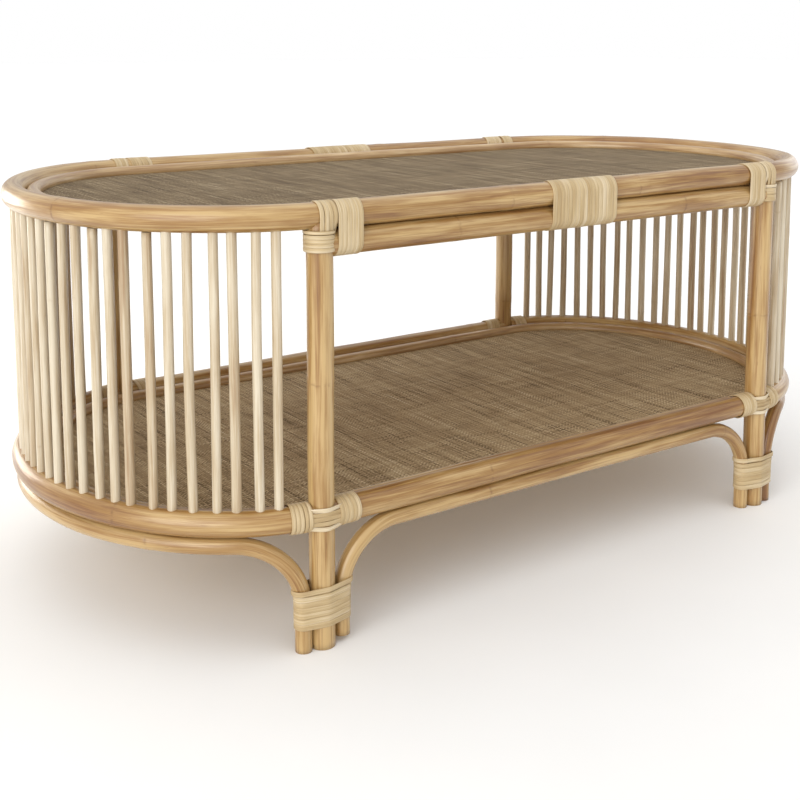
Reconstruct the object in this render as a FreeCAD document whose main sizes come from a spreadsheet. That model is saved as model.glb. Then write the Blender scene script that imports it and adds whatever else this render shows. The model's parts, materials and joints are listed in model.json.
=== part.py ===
import FreeCAD, Part
import math
import os

# Rattan coffee table with an open shelf, millimetres.
# X runs along the table, Y from front to back, Z up; the origin is on the floor under the middle.
# Two oval tiers of bent pole are carried by four posts. Turned-down braces flank each post, and
# thin spindles close in the two rounded ends.

doc = FreeCAD.newDocument("rattan_coffee_table")
dims = doc.addObject("Spreadsheet::Sheet", "dims")

DIMENSIONS = [
    ("overall_length", 1100, "outside of the pole, tip to tip"),
    ("overall_width", 545, "outside of the pole, front to back"),
    ("overall_height", 456, "floor to the top of the upper hoop"),
    ("pole_diameter", 27, "hoops, rails and posts"),
    ("end_start", 321, "middle of the table to where the rounded ends begin"),
    ("post_offset", 334.7, "middle of the table to a post"),
    ("shelf_height", 138.5, "floor to the middle of the lower hoop"),
    ("apron_diameter", 26.5, "rail under each straight side of the top"),
    ("pole_gap", 0.4, "between poles that lie along each other"),
    ("fit_gap", 0.1, "between a pole and the end that is shaped to it"),
    ("brace_diameter", 17.5, "bent braces below the shelf"),
    ("brace_bend", 68, "radius of a brace's turn down to the floor"),
    ("inner_hoop_diameter", 17, "thin hoop that edges each mat"),
    ("inner_hoop_drop", 2.2, "middle of the thin hoop below the middle of the outer one"),
    ("mat_drop", 4, "face of the mat below the middle of the outer hoop"),
    ("mat_thickness", 2, "woven mat"),
    ("board_thickness", 6, "plywood under the mat"),
    ("batten_width", 24, "cross batten, along X"),
    ("batten_depth", 14, "cross batten, along Z"),
    ("batten_pitch", 220, "between battens"),
    ("spindle_diameter", 10.5, "thin upright"),
    ("spindle_count", 30, "uprights round each end"),
    ("spindle_margin", 54.6, "start of the rounded end to the first upright, along the pole"),
    ("socket_depth", 10, "how far an upright goes into a hoop"),
    ("binding_thickness", 1.8, "wound peel"),
    ("corner_wrap_width", 29, "winding round the top pole and the apron beside a post"),
    ("strap_width", 19.2, "straps over the top hoop at a post, along the hoop"),
    ("collar_height", 21.5, "winding round a post under the top"),
    ("wrap_space", 0.5, "between a winding and the post beside it"),
    ("centre_wrap_width", 98, "winding over the joint of the two top hoops"),
    ("hoop_joint_offset", 8, "joint of the two top hoops, along X from the middle"),
    ("shelf_wrap_width", 25, "winding round the lower rail beside a post"),
    ("end_wrap_width", 21, "winding round the lower hoop beside a post"),
    ("shelf_strip_height", 21, "strips that cross in front of a post"),
    ("foot_wrap_bottom", 25, "floor to the winding round a foot"),
    ("foot_wrap_height", 43, "winding round a foot"),
    ("foot_wrap_slack", 2, "height above that winding at which its slots clear the turning braces"),
    ("strip_lap", 3, "crossing strips onto the windings beside them"),
    ("dowel_diameter", 8, "hardwood dowel"),
    ("joint_dowel_length", 60, "across each joint of the two top hoops"),
    ("apron_dowel_length", 34, "from a post into the apron"),
    ("apron_dowel_offset", 3.5, "middle of a post to the start of its apron dowel"),
    ("shelf_dowel_length", 68, "through a post and into the pole on each side of it"),
    ("pin_diameter", 2.5, "headless pin"),
    ("pin_length", 32, "headless pin"),
    ("hoop_pin_length", 23, "headless pin of a thin hoop"),
    ("pin_sink", 2, "end of a pin below the surface"),
    ("pin_pitch", 110, "between the pins along a straight pole"),
    ("screw_diameter", 4, "wood screw, over its thread"),
    ("screw_head", 8, "countersunk head of a wood screw"),
    ("post_screw_length", 42, "screw down into a post"),
    ("foot_screw_length", 50, "screw through a foot"),
    ("board_screw_length", 18, "screw up through a batten"),
    ("board_screw_pitch", 150, "between the screws along a batten"),
    ("screw_sink", 1.2, "head of a screw below the surface of its pole"),
    ("hole_gap", 0.1, "round a pin, screw, dowel or upright in its hole"),
]

for row, (alias, size, meaning) in enumerate(DIMENSIONS, start=1):
    dims.set(f"A{row}", alias)
    dims.set(f"B{row}", str(size))
    dims.setAlias(f"B{row}", alias)
    dims.set(f"C{row}", meaning)
doc.recompute()

# Sizes that follow from the driving ones, as expressions on the sheet.
POLE_R = "dims.pole_diameter / 2"
APRON_R = "dims.apron_diameter / 2"
BRACE_R = "dims.brace_diameter / 2"
INNER_R = "dims.inner_hoop_diameter / 2"
RAIL_Y = "(dims.overall_width - dims.pole_diameter) / 2"
END_REACH = "((dims.overall_length - dims.pole_diameter) / 2 - dims.end_start)"
TOP_Z = "(dims.overall_height - dims.pole_diameter / 2)"
SHELF_Z = "dims.shelf_height"
APRON_Z = f"({TOP_Z} - {POLE_R} - dims.pole_gap - {APRON_R})"
BRACE_Z = f"({SHELF_Z} - {POLE_R} - dims.pole_gap - {BRACE_R})"
FOOT_PITCH = f"({POLE_R} + dims.fit_gap + {BRACE_R})"
INNER_INSET = f"({POLE_R} + {INNER_R} + 2 * dims.fit_gap)"
PANEL_INSET = f"({INNER_INSET} + {INNER_R} + dims.fit_gap)"
COLLAR_Z = f"({TOP_Z} - {POLE_R} - dims.collar_height)"

X = FreeCAD.Vector(1, 0, 0)
Y = FreeCAD.Vector(0, 1, 0)
Z = FreeCAD.Vector(0, 0, 1)
SIDES = {"left": -1, "right": 1}
DEPTHS = {"front": -1, "back": 1}
CORNERS = [(depth, side) for depth in DEPTHS for side in SIDES]
TIERS = {"top": TOP_Z, "shelf": SHELF_Z}

# Places of pins: steps along a straight pole, in pitches, and turns round a rounded end, in degrees
# from its tip.
RAIL_PIN_STEPS = (-1.5, -0.5, 0.5, 1.5)
BRACE_PIN_TURNS = (-42, 0, 42)
HOOP_PIN_STEPS = (-2.5, -1.5, -0.65, 0.65, 1.5, 2.5)
HOOP_PIN_TURNS = (-50, -17, 17, 50)
BATTENS = {"left": -1, "middle": 0, "right": 1}

parts = {}


def number(formula):
    """The value that an expression on the sheet has now."""
    return float(dims.evalExpression(formula))


def bind(item, **formulas):
    """Ties properties of an object to expressions; two underscores stand for a dot."""
    for name, formula in formulas.items():
        item.setExpression(name.replace("__", "."), str(formula))
    return item


def place(item, spot):
    """Ties an object's position to three expressions."""
    for axis, formula in zip("xyz", spot):
        item.setExpression(f"Placement.Base.{axis}", str(formula))
    return item


def turn_to(item, axis):
    """Turns an object so that its own Z lies along axis."""
    item.Placement = FreeCAD.Placement(FreeCAD.Vector(), FreeCAD.Rotation(Z, axis))
    return item


def rod(name, diameter, length, start, axis=Z):
    """A straight round rod that starts at a point and runs along an axis."""
    item = turn_to(doc.addObject("Part::Cylinder", name), axis)
    bind(item, Radius=f"({diameter}) / 2", Height=length)
    return place(item, start)


def group(name, members):
    """Separate solids held as one object."""
    item = doc.addObject("Part::Compound", name)
    item.Links = members
    return item


def cut(name, base, tools):
    """Takes every tool out of a base."""
    item = doc.addObject("Part::Cut", name)
    item.Base = base
    item.Tool = tools[0] if len(tools) == 1 else group(name + "_tools", tools)
    return item


def keep(name, item):
    """Names a finished piece."""
    item.Label = name
    parts[name] = item
    return item


def shape_part(name, shape):
    """A piece whose shape is worked out here rather than by a feature."""
    item = doc.addObject("Part::Feature", name)
    item.Shape = shape
    item.Placement = FreeCAD.Placement()
    return keep(name, item)


# ---------------------------------------------------------------- paths


def straight_path(name, ends, y, z):
    """A straight stretch along X."""
    item = doc.addObject("Part::Line", name)
    bind(item, X1=ends[0], X2=ends[1], Y1=y, Y2=y, Z1=z, Z2=z)
    return item


def end_path(name, side, z, inset="0", trim="0 deg"):
    """The half ellipse round one end, drawn in by inset and cut back at both ends by an angle."""
    item = doc.addObject("Part::Ellipse", name)
    item.Placement = FreeCAD.Placement(FreeCAD.Vector(), FreeCAD.Rotation(Z, -90 * side))
    bind(item, MajorRadius=f"{RAIL_Y} - {inset}", MinorRadius=f"{END_REACH} - {inset}")
    bind(item, Angle1=trim, Angle2=f"180 deg - {trim}")
    return place(item, (f"{side} * dims.end_start", "0", z))


def profile(name, radius, spot, axis):
    """A circle across the start of a path."""
    item = turn_to(doc.addObject("Part::Circle", name), axis)
    bind(item, Radius=radius)
    return place(item, spot)


def swept_pole(name, paths, section):
    """A round pole that follows a chain of paths."""
    spine = group(name + "_spine", paths)
    pole = doc.addObject("Part::Sweep", name)
    pole.Sections = [section]
    pole.Spine = (spine, [f"Edge{count + 1}" for count in range(len(paths))])
    pole.Solid = True
    pole.Frenet = False
    return pole


def half_hoop(name, side, z, radius):
    """Half of the top hoop, from the joint in one straight side round to the joint in the other."""
    joint = "dims.hoop_joint_offset"
    turn = f"{side} * dims.end_start"
    paths = [
        straight_path(name + "_front_line", (joint, turn), f"-{RAIL_Y}", z),
        end_path(name + "_end_curve", side, z),
        straight_path(name + "_back_line", (joint, turn), RAIL_Y, z),
    ]
    section = profile(name + "_section", radius, (joint, f"-{RAIL_Y}", z), X)
    return swept_pole(name, paths, section)


def end_hoop(name, side, z, radius):
    """The rounded end of the lower hoop, from the middle of one post to the middle of the other."""
    trim = f"asin((dims.post_offset - dims.end_start) / {END_REACH})"
    curve = end_path(name + "_end_curve", side, z, trim=trim)
    swing = math.radians(number(trim))
    heading = FreeCAD.Vector(
        number(END_REACH) * math.cos(swing), number(RAIL_Y) * math.sin(swing), 0
    )
    start = (f"{side} * dims.post_offset", f"{-side} * {RAIL_Y} * cos({trim})", z)
    section = profile(name + "_section", radius, start, heading * side)
    return swept_pole(name, [curve], section)


def inner_hoop(name, z):
    """The thin closed hoop inside an outer one."""
    height = f"({z} - dims.inner_hoop_drop)"
    line_y = f"({RAIL_Y} - {INNER_INSET})"
    turn = "dims.end_start"
    paths = [
        straight_path(name + "_front_line", (f"-{turn}", turn), f"-{line_y}", height),
        end_path(name + "_right_curve", 1, height, inset=INNER_INSET),
        straight_path(name + "_back_line", (turn, f"-{turn}"), line_y, height),
        end_path(name + "_left_curve", -1, height, inset=INNER_INSET),
    ]
    section = profile(name + "_section", INNER_R, (f"-{turn}", f"-{line_y}", height), X)
    return swept_pole(name, paths, section)


def panel(name, top, thickness):
    """A flat oval that fills the inside of a thin hoop."""
    lobes = []
    for side_name, side in SIDES.items():
        rim = doc.addObject("Part::Ellipse", f"{name}_{side_name}_rim")
        rim.Placement = FreeCAD.Placement(FreeCAD.Vector(), FreeCAD.Rotation(Z, 90))
        bind(rim, MajorRadius=f"{RAIL_Y} - {PANEL_INSET}", MinorRadius=f"{END_REACH} - {PANEL_INSET}")
        place(rim, (f"{side} * dims.end_start", "0", f"{top} - {thickness}"))
        lobe = doc.addObject("Part::Extrusion", f"{name}_{side_name}_lobe")
        lobe.Base = rim
        lobe.DirMode = "Custom"
        lobe.Dir = Z
        lobe.Solid = True
        lobes.append(bind(lobe, LengthFwd=thickness))
    middle = doc.addObject("Part::Box", name + "_middle")
    bind(middle, Length="2 * dims.end_start", Width=f"2 * ({RAIL_Y} - {PANEL_INSET})", Height=thickness)
    place(middle, ("-dims.end_start", f"-({RAIL_Y} - {PANEL_INSET})", f"{top} - {thickness}"))
    whole = doc.addObject("Part::MultiFuse", name)
    whole.Shapes = [middle] + lobes
    whole.Refine = True
    return whole


# ---------------------------------------------------------------- places round the rounded ends


def end_point(angle):
    """A point on the right-hand rounded end and the way out from it; angle 0 is the tip."""
    reach = number(END_REACH)
    half = number(RAIL_Y)
    spot = FreeCAD.Vector(
        number("dims.end_start") + reach * math.cos(angle), half * math.sin(angle), 0
    )
    outward = FreeCAD.Vector(math.cos(angle) / reach, math.sin(angle) / half, 0).normalize()
    return spot, outward


def end_walk():
    """Angle and distance along the right-hand rounded end, in small steps from its front start."""
    reach = number(END_REACH)
    half = number(RAIL_Y)
    count = 3600
    step = math.pi / count
    walk = [(-math.pi / 2, 0.0)]
    for turn in range(count):
        angle, distance = walk[-1]
        middle = angle + step / 2
        length = step * math.hypot(reach * math.sin(middle), half * math.cos(middle))
        walk.append((angle + step, distance + length))
    return walk


END_WALK = end_walk()


def end_angle(distance):
    """The angle at which the rounded end is this long, measured from its front start."""
    for (angle, walked), (next_angle, next_walked) in zip(END_WALK, END_WALK[1:]):
        if next_walked >= distance:
            return angle + (next_angle - angle) * (distance - walked) / (next_walked - walked)
    return END_WALK[-1][0]


def end_distance(angle):
    """How long the rounded end is, from its front start to an angle."""
    return max(walked for turn, walked in END_WALK if turn <= angle)


# ---------------------------------------------------------------- pins, screws, dowels, spindles


def peg_and_hole(name, diameter, length, start, axis=Z):
    """A straight fastener and the slightly larger hole that it sits in."""
    gap = "dims.hole_gap"
    peg = rod(name, diameter, length, start, axis)
    shifted = [f"{formula} - {part} * {gap}" for formula, part in zip(start, axis)]
    hole = rod(name + "_hole", f"{diameter} + 2 * {gap}", f"{length} + 2 * {gap}", shifted, axis)
    return peg, hole


def screw_and_hole(name, length, start, axis):
    """A countersunk screw and its hole; start is the middle of the head's flat face."""
    gap = "dims.hole_gap"
    head_depth = "(dims.screw_head - dims.screw_diameter) / 2"
    pieces = []
    for suffix, extra in (("", "0"), ("_hole", gap)):
        shank = rod(name + suffix + "_shank", f"dims.screw_diameter + 2 * {extra}",
                    f"{length} + {extra}", start, axis)
        head = turn_to(doc.addObject("Part::Cone", name + suffix + "_head"), axis)
        bind(head, Radius1=f"dims.screw_head / 2 + {extra}", Radius2=f"dims.screw_diameter / 2 + {extra}",
             Height=head_depth)
        place(head, start)
        whole = doc.addObject("Part::Fuse", name + suffix)
        whole.Base = shank
        whole.Tool = head
        pieces.append(whole)
    return pieces


def fastener_group(name, pairs):
    """Keeps a set of identical fasteners as one piece and returns their holes as one tool."""
    keep(name, group(name, [peg for peg, hole in pairs]))
    return group(name + "_holes", [hole for peg, hole in pairs])


def corner_spot(depth, side, shift="0"):
    """X and Y of a post, or of a place beside it; shift is away from the middle of the table."""
    x = f"{SIDES[side]} * (dims.post_offset + {shift})"
    return x, f"{DEPTHS[depth]} * {RAIL_Y}"


def make_spindles():
    """The thin uprights of each end, and their sockets."""
    holes = {}
    count = int(number("dims.spindle_count"))
    margin = number("dims.spindle_margin")
    whole = END_WALK[-1][1]
    pitch = (whole - 2 * margin) / (count - 1)
    bottom = f"({SHELF_Z} + {POLE_R} - dims.socket_depth)"
    length = f"({TOP_Z} - {POLE_R} + dims.socket_depth - {bottom})"
    for side_name, side in SIDES.items():
        pairs = []
        for index in range(count):
            spot = end_point(end_angle(margin + index * pitch))[0]
            start = (str(side * spot.x), str(spot.y), bottom)
            pairs.append(
                peg_and_hole(f"{side_name}_spindle_{index}", "dims.spindle_diameter", length, start)
            )
        holes[side_name] = fastener_group(f"{side_name}_spindles", pairs)
    return holes


def make_post_screws():
    """One screw down through the top hoop into each post, its head below the winding."""
    top = f"{TOP_Z} + {POLE_R} - dims.screw_sink"
    pairs = []
    for depth, side in CORNERS:
        start = (*corner_spot(depth, side), top)
        name = f"post_screw_{depth}_{side}"
        pairs.append(screw_and_hole(name, "dims.post_screw_length", start, -Z))
    return fastener_group("post_top_screws", pairs)


def make_foot_screws():
    """One screw through the three poles of each foot, from the end brace inwards."""
    pairs = []
    for depth, side in CORNERS:
        x, y = corner_spot(depth, side, f"{FOOT_PITCH} + {BRACE_R} - dims.screw_sink")
        height = "dims.foot_wrap_bottom + dims.foot_wrap_height / 2"
        name = f"foot_screw_{depth}_{side}"
        pairs.append(screw_and_hole(name, "dims.foot_screw_length", (x, y, height), -SIDES[side] * X))
    return fastener_group("foot_screws", pairs)


def make_dowels():
    """Hoop joints, apron ends and lower rail ends are all dowelled."""
    holes = {}
    size = "dims.dowel_diameter"
    length = "dims.joint_dowel_length"
    pairs = []
    for depth, way in DEPTHS.items():
        start = (f"dims.hoop_joint_offset - {length} / 2", f"{way} * {RAIL_Y}", TOP_Z)
        pairs.append(peg_and_hole(f"hoop_dowel_{depth}", size, length, start, X))
    holes["hoop"] = fastener_group("hoop_joint_dowels", pairs)

    length = "dims.apron_dowel_length"
    pairs = []
    for depth, side in CORNERS:
        start = (*corner_spot(depth, side, "-dims.apron_dowel_offset"), APRON_Z)
        pairs.append(peg_and_hole(f"apron_dowel_{depth}_{side}", size, length, start, -SIDES[side] * X))
    holes["apron"] = fastener_group("apron_dowels", pairs)

    length = "dims.shelf_dowel_length"
    pairs = []
    for depth, side in CORNERS:
        start = (*corner_spot(depth, side, f"-{length} / 2"), SHELF_Z)
        pairs.append(peg_and_hole(f"shelf_dowel_{depth}_{side}", size, length, start, SIDES[side] * X))
    holes["shelf"] = fastener_group("shelf_joint_dowels", pairs)
    return holes


def make_rail_pins():
    """Upright pins that hold each apron and each brace up against the pole above it."""
    apron_level = f"{APRON_Z} - {APRON_R} + dims.pin_sink"
    brace_level = f"{BRACE_Z} - {BRACE_R} + dims.pin_sink"
    places = []
    for way in DEPTHS.values():
        for step in RAIL_PIN_STEPS:
            spot = (f"{step} * dims.pin_pitch", f"{way} * {RAIL_Y}")
            places.append((*spot, apron_level))
            places.append((*spot, brace_level))
    for side in SIDES.values():
        for degrees in BRACE_PIN_TURNS:
            spot = end_point(math.radians(degrees))[0]
            places.append((str(side * spot.x), str(spot.y), brace_level))
    pairs = [
        peg_and_hole(f"rail_pin_{index}", "dims.pin_diameter", "dims.pin_length", start)
        for index, start in enumerate(places)
    ]
    return fastener_group("rail_pins", pairs)


def batten_x(index):
    """X of the middle of a batten."""
    return f"{index} * dims.batten_pitch"


def board_bottom(tier_z):
    """Z of the underside of a board."""
    return f"({tier_z} - dims.mat_drop - dims.mat_thickness - dims.board_thickness)"


def make_batten_pins():
    """Level pins from the side poles into the ends of the battens."""
    pairs = []
    for tier, tier_z in TIERS.items():
        outer = APRON_R if tier == "top" else BRACE_R
        level = f"{board_bottom(tier_z)} - 3 * dims.batten_depth / 4"
        for place_name, index in BATTENS.items():
            for depth, way in DEPTHS.items():
                start = (batten_x(index), f"{way} * ({RAIL_Y} + {outer} - dims.pin_sink)", level)
                name = f"batten_pin_{tier}_{place_name}_{depth}"
                pairs.append(peg_and_hole(name, "dims.pin_diameter", "dims.pin_length", start, -way * Y))
    return fastener_group("batten_pins", pairs)


def make_board_screws():
    """Screws up through the battens into the boards."""
    pairs = []
    for tier, tier_z in TIERS.items():
        level = f"{board_bottom(tier_z)} - dims.batten_depth"
        for place_name, index in BATTENS.items():
            for row in (-1, 0, 1):
                start = (batten_x(index), f"{row} * dims.board_screw_pitch", level)
                name = f"board_screw_{tier}_{place_name}_{row + 1}"
                pairs.append(screw_and_hole(name, "dims.board_screw_length", start, Z))
    return fastener_group("board_screws", pairs)


def make_hoop_pins():
    """Level pins from each thin hoop into the outer one."""
    pairs = []
    size = "dims.pin_diameter"
    length = "dims.hoop_pin_length"
    inset = f"({INNER_INSET} + {INNER_R} - dims.pin_sink)"
    for tier, tier_z in TIERS.items():
        level = f"{tier_z} - dims.inner_hoop_drop"
        for depth, way in DEPTHS.items():
            for index, step in enumerate(HOOP_PIN_STEPS):
                start = (f"{step} * dims.pin_pitch", f"{way} * ({RAIL_Y} - {inset})", level)
                name = f"hoop_pin_{tier}_{depth}_{index}"
                pairs.append(peg_and_hole(name, size, length, start, way * Y))
        for side_name, side in SIDES.items():
            for index, degrees in enumerate(HOOP_PIN_TURNS):
                spot, outward = end_point(math.radians(degrees))
                at = spot - outward * number(inset)
                start = (str(side * at.x), str(at.y), level)
                aim = FreeCAD.Vector(side * outward.x, outward.y, 0)
                name = f"hoop_pin_{tier}_{side_name}_{index}"
                pairs.append(peg_and_hole(name, size, length, start, aim))
    return fastener_group("inner_hoop_pins", pairs)


# ---------------------------------------------------------------- poles


def make_posts(post_tools, drilled):
    """Four posts, each shaped at its top to the underside of the top hoop."""
    for depth, side in CORNERS:
        name = f"post_{depth}_{side}"
        pole = rod(name + "_pole", "dims.pole_diameter", TOP_Z, (*corner_spot(depth, side), "0"))
        keep(name, cut(name, pole, [post_tools[side]] + drilled))


def post_cutters():
    """Straight cutters, a little larger than the posts, that shape the ends meeting them."""
    return [
        rod(f"post_cutter_{depth}_{side}", "dims.pole_diameter + 2 * dims.fit_gap", TOP_Z,
            (*corner_spot(depth, side), "0"))
        for depth, side in CORNERS
    ]


def make_straight_rails(posts, apron_drills, shelf_drills):
    """The apron under the top and the lower rail, between the posts, front and back."""
    start_x = "-dims.post_offset"
    span = "2 * dims.post_offset"
    for depth, way in DEPTHS.items():
        y = f"{way} * {RAIL_Y}"
        apron = rod(f"{depth}_apron_pole", "dims.apron_diameter", span, (start_x, y, APRON_Z), X)
        keep(f"{depth}_apron_rail", cut(f"{depth}_apron_rail", apron, posts + apron_drills))
        rail = rod(f"{depth}_shelf_pole", "dims.pole_diameter", span, (start_x, y, SHELF_Z), X)
        keep(f"shelf_{depth}_rail", cut(f"shelf_{depth}_rail", rail, posts + shelf_drills))


def make_side_braces(drilled):
    """The brace along each straight side: foot, turn, straight run under the rail, turn, foot."""
    foot = f"(dims.post_offset - {FOOT_PITCH})"
    bend = "dims.brace_bend"
    for depth, way in DEPTHS.items():
        name = f"{depth}_brace"
        y = f"{way} * {RAIL_Y}"
        paths = []
        for side in (-1, 1):
            leg = doc.addObject("Part::Line", f"{name}_leg_{side + 1}")
            bind(leg, X1=f"{side} * {foot}", X2=f"{side} * {foot}", Y1=y, Y2=y, Z1="0",
                 Z2=f"{BRACE_Z} - {bend}")
            turn = doc.addObject("Part::Circle", f"{name}_turn_{side + 1}")
            turn.Placement = FreeCAD.Placement(FreeCAD.Vector(), FreeCAD.Rotation(X, 90))
            first = 90 if side < 0 else 0
            bind(turn, Radius=bend, Angle1=str(first), Angle2=str(first + 90))
            place(turn, (f"{side} * ({foot} - {bend})", y, f"{BRACE_Z} - {bend}"))
            paths.append([leg, turn])
        run = straight_path(f"{name}_run", (f"-({foot} - {bend})", f"{foot} - {bend}"), y, BRACE_Z)
        chain = [paths[0][0], paths[0][1], run, paths[1][1], paths[1][0]]
        section = profile(f"{name}_section", BRACE_R, (f"-{foot}", y, "0"), Z)
        pole = swept_pole(f"{name}_pole", chain, section)
        keep(name, cut(name, pole, drilled))


def end_turn(swing):
    """A point on the rising turn of the right-hand end brace, and its angle round the end. Swing runs
    from 0 at the top of the leg to a right angle where the brace lies level."""
    bend = number("dims.brace_bend")
    half = number(RAIL_Y)
    foot_shift = number(f"dims.post_offset + {FOOT_PITCH} - dims.end_start")
    foot_angle = math.asin(foot_shift / number(END_REACH)) - math.pi / 2
    foot_out = half + half * math.sin(foot_angle)
    angle = end_angle(end_distance(foot_angle) + bend * (1 - math.cos(swing)))
    spot = end_point(angle)[0]
    y = spot.y - foot_out * math.cos(swing) ** 2
    return FreeCAD.Vector(spot.x, y, number(BRACE_Z) - bend + bend * math.sin(swing)), angle


def end_brace_edges():
    """Half of the brace under the right-hand end: leg, rising turn, run up to the tip."""
    steps = 6
    turn = [end_turn(math.pi / 2 * step / steps) for step in range(steps + 1)]
    points = [point for point, angle in turn]
    angle = turn[-1][1]
    reach = number(END_REACH)
    half = number(RAIL_Y)
    along = FreeCAD.Vector(-reach * math.sin(angle), half * math.cos(angle), 0).normalize()
    rise = Part.BSplineCurve()
    rise.interpolate(Points=points, InitialTangent=Z, FinalTangent=along)
    middle = FreeCAD.Vector(number("dims.end_start"), 0, number(BRACE_Z))
    rim = Part.Ellipse(middle - half * Y, middle + reach * X, middle)
    run = Part.ArcOfEllipse(rim, math.pi / 2 + angle, math.pi / 2)
    foot = FreeCAD.Vector(points[0].x, points[0].y, 0)
    return [Part.makeLine(foot, points[0]), rise.toShape(), run.toShape()]


def make_end_braces(drilled):
    """The brace under each rounded end, bent in two planes."""
    lengths = [pipe_along([edge], number(BRACE_R)) for edge in end_brace_edges()]
    lengths += [length.mirror(FreeCAD.Vector(), Y) for length in lengths]
    right = lengths[0].multiFuse(lengths[1:])
    for side_name, side in SIDES.items():
        pole = doc.addObject("Part::Feature", f"{side_name}_end_brace_pole")
        pole.Shape = right if side > 0 else right.mirror(FreeCAD.Vector(), X)
        keep(f"{side_name}_end_brace", cut(f"{side_name}_end_brace", pole, drilled))


def make_battens(hoops, drilled):
    """Sawn battens under each board, their ends shaped to the poles that they meet."""
    gap = "2 * dims.fit_gap"
    span = f"2 * {RAIL_Y}"
    for tier, tier_z in TIERS.items():
        low_d, low_z = (
            ("dims.apron_diameter", APRON_Z) if tier == "top" else ("dims.brace_diameter", BRACE_Z)
        )
        cutters = []
        for depth, way in DEPTHS.items():
            y = f"{way} * {RAIL_Y}"
            for level, diameter, z in (("high", "dims.pole_diameter", tier_z), ("low", low_d, low_z)):
                cutters.append(
                    rod(f"{tier}_{depth}_{level}_cutter", f"{diameter} + {gap}",
                        "2 * dims.end_start", ("-dims.end_start", y, z), X)
                )
        for place_name, index in BATTENS.items():
            name = f"{tier}_batten_{place_name}"
            bar = doc.addObject("Part::Box", name + "_bar")
            bind(bar, Length="dims.batten_width", Width=f"{span} - {POLE_R}", Height="dims.batten_depth")
            place(bar, (f"{batten_x(index)} - dims.batten_width / 2", f"-({span} - {POLE_R}) / 2",
                        f"{board_bottom(tier_z)} - dims.batten_depth"))
            keep(name, cut(name, bar, cutters + drilled))


# ---------------------------------------------------------------- windings


def pipe_along(edges, radius):
    """A round solid along a chain of edges."""
    first = edges[0]
    start = first.valueAt(first.FirstParameter)
    heading = first.tangentAt(first.FirstParameter)
    ring = Part.Wire(Part.makeCircle(radius, start, heading))
    return Part.Wire(edges).makePipeShell([ring], True, False)


def outline_edge(depth_way, side, z, first, last):
    """A stretch of the rounded end's line; first and last are distances along X past its start."""
    reach = number(END_REACH)
    middle = FreeCAD.Vector(side * number("dims.end_start"), 0, z)
    rim = Part.Ellipse(middle + number(RAIL_Y) * Y, middle + side * reach * X, middle)
    angles = sorted(math.asin(distance / reach) for distance in (first, last))
    if depth_way < 0:
        angles = [math.pi - angle for angle in reversed(angles)]
    return Part.ArcOfEllipse(rim, *angles).toShape()


def round_bar(radius, start, axis, length):
    """A straight round solid."""
    return Part.makeCylinder(radius, length, start, axis)


def hull_of_poles(centres, radii, low, high, axis):
    """Solid between low and high along an axis that holds a row of parallel round poles, drawn
    tight from one to the next. Centres are in the plane across the axis."""
    solids = []
    thick = high - low
    for centre, radius in zip(centres, radii):
        solids.append(round_bar(radius, centre + axis * low, axis, thick))
    for first, second in zip(range(len(centres) - 1), range(1, len(centres))):
        gap = centres[second] - centres[first]
        along = FreeCAD.Vector(gap).normalize()
        across = axis.cross(along)
        lean = math.asin((radii[first] - radii[second]) / gap.Length)
        corners = []
        for way in (1, -1):
            reach = along * math.sin(lean) + across * (way * math.cos(lean))
            pair = [centres[first] + reach * radii[first], centres[second] + reach * radii[second]]
            corners += pair if way > 0 else pair[::-1]
        corners = [corner + axis * low for corner in corners]
        face = Part.Face(Part.makePolygon(corners + corners[:1]))
        solids.append(face.extrude(axis * thick))
    return solids[0].multiFuse(solids[1:]).removeSplitter()


def winding(name, masses, poles, neighbours):
    """A winding is the thickened mass less the poles inside it and the pieces that pass it."""
    whole = masses[0].multiFuse(masses[1:]) if len(masses) > 1 else masses[0]
    for pole in poles + [parts[neighbour].Shape for neighbour in neighbours]:
        whole = whole.cut(pole)
    return shape_part(name, max(whole.Solids, key=lambda solid: solid.Volume))


def side_bar(way, radius, z, half):
    """A straight round solid along one side, from -half to half."""
    return round_bar(radius, FreeCAD.Vector(-half, way * number(RAIL_Y), number(z)), X, 2 * half)


def make_centre_bindings():
    """Over the joint of the two top hoops, round hoop and apron together."""
    gap = number("dims.fit_gap") / 2
    thick = number("dims.binding_thickness")
    middle = number("dims.hoop_joint_offset")
    half = number("dims.centre_wrap_width") / 2
    post_x = number("dims.post_offset")
    for depth, way in DEPTHS.items():
        y = way * number(RAIL_Y)
        centres = [FreeCAD.Vector(0, y, number(TOP_Z)), FreeCAD.Vector(0, y, number(APRON_Z))]
        radii = [number(POLE_R) + thick, number(APRON_R) + thick]
        mass = hull_of_poles(centres, radii, middle - half, middle + half, X)
        poles = [
            side_bar(way, number(POLE_R) + gap, TOP_Z, post_x),
            side_bar(way, number(APRON_R) + gap, APRON_Z, post_x),
        ]
        neighbours = ["top_inner_hoop", "top_batten_middle", "batten_pins", "rail_pins"]
        winding(f"centre_binding_{depth}", [mass], poles, neighbours)


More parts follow.
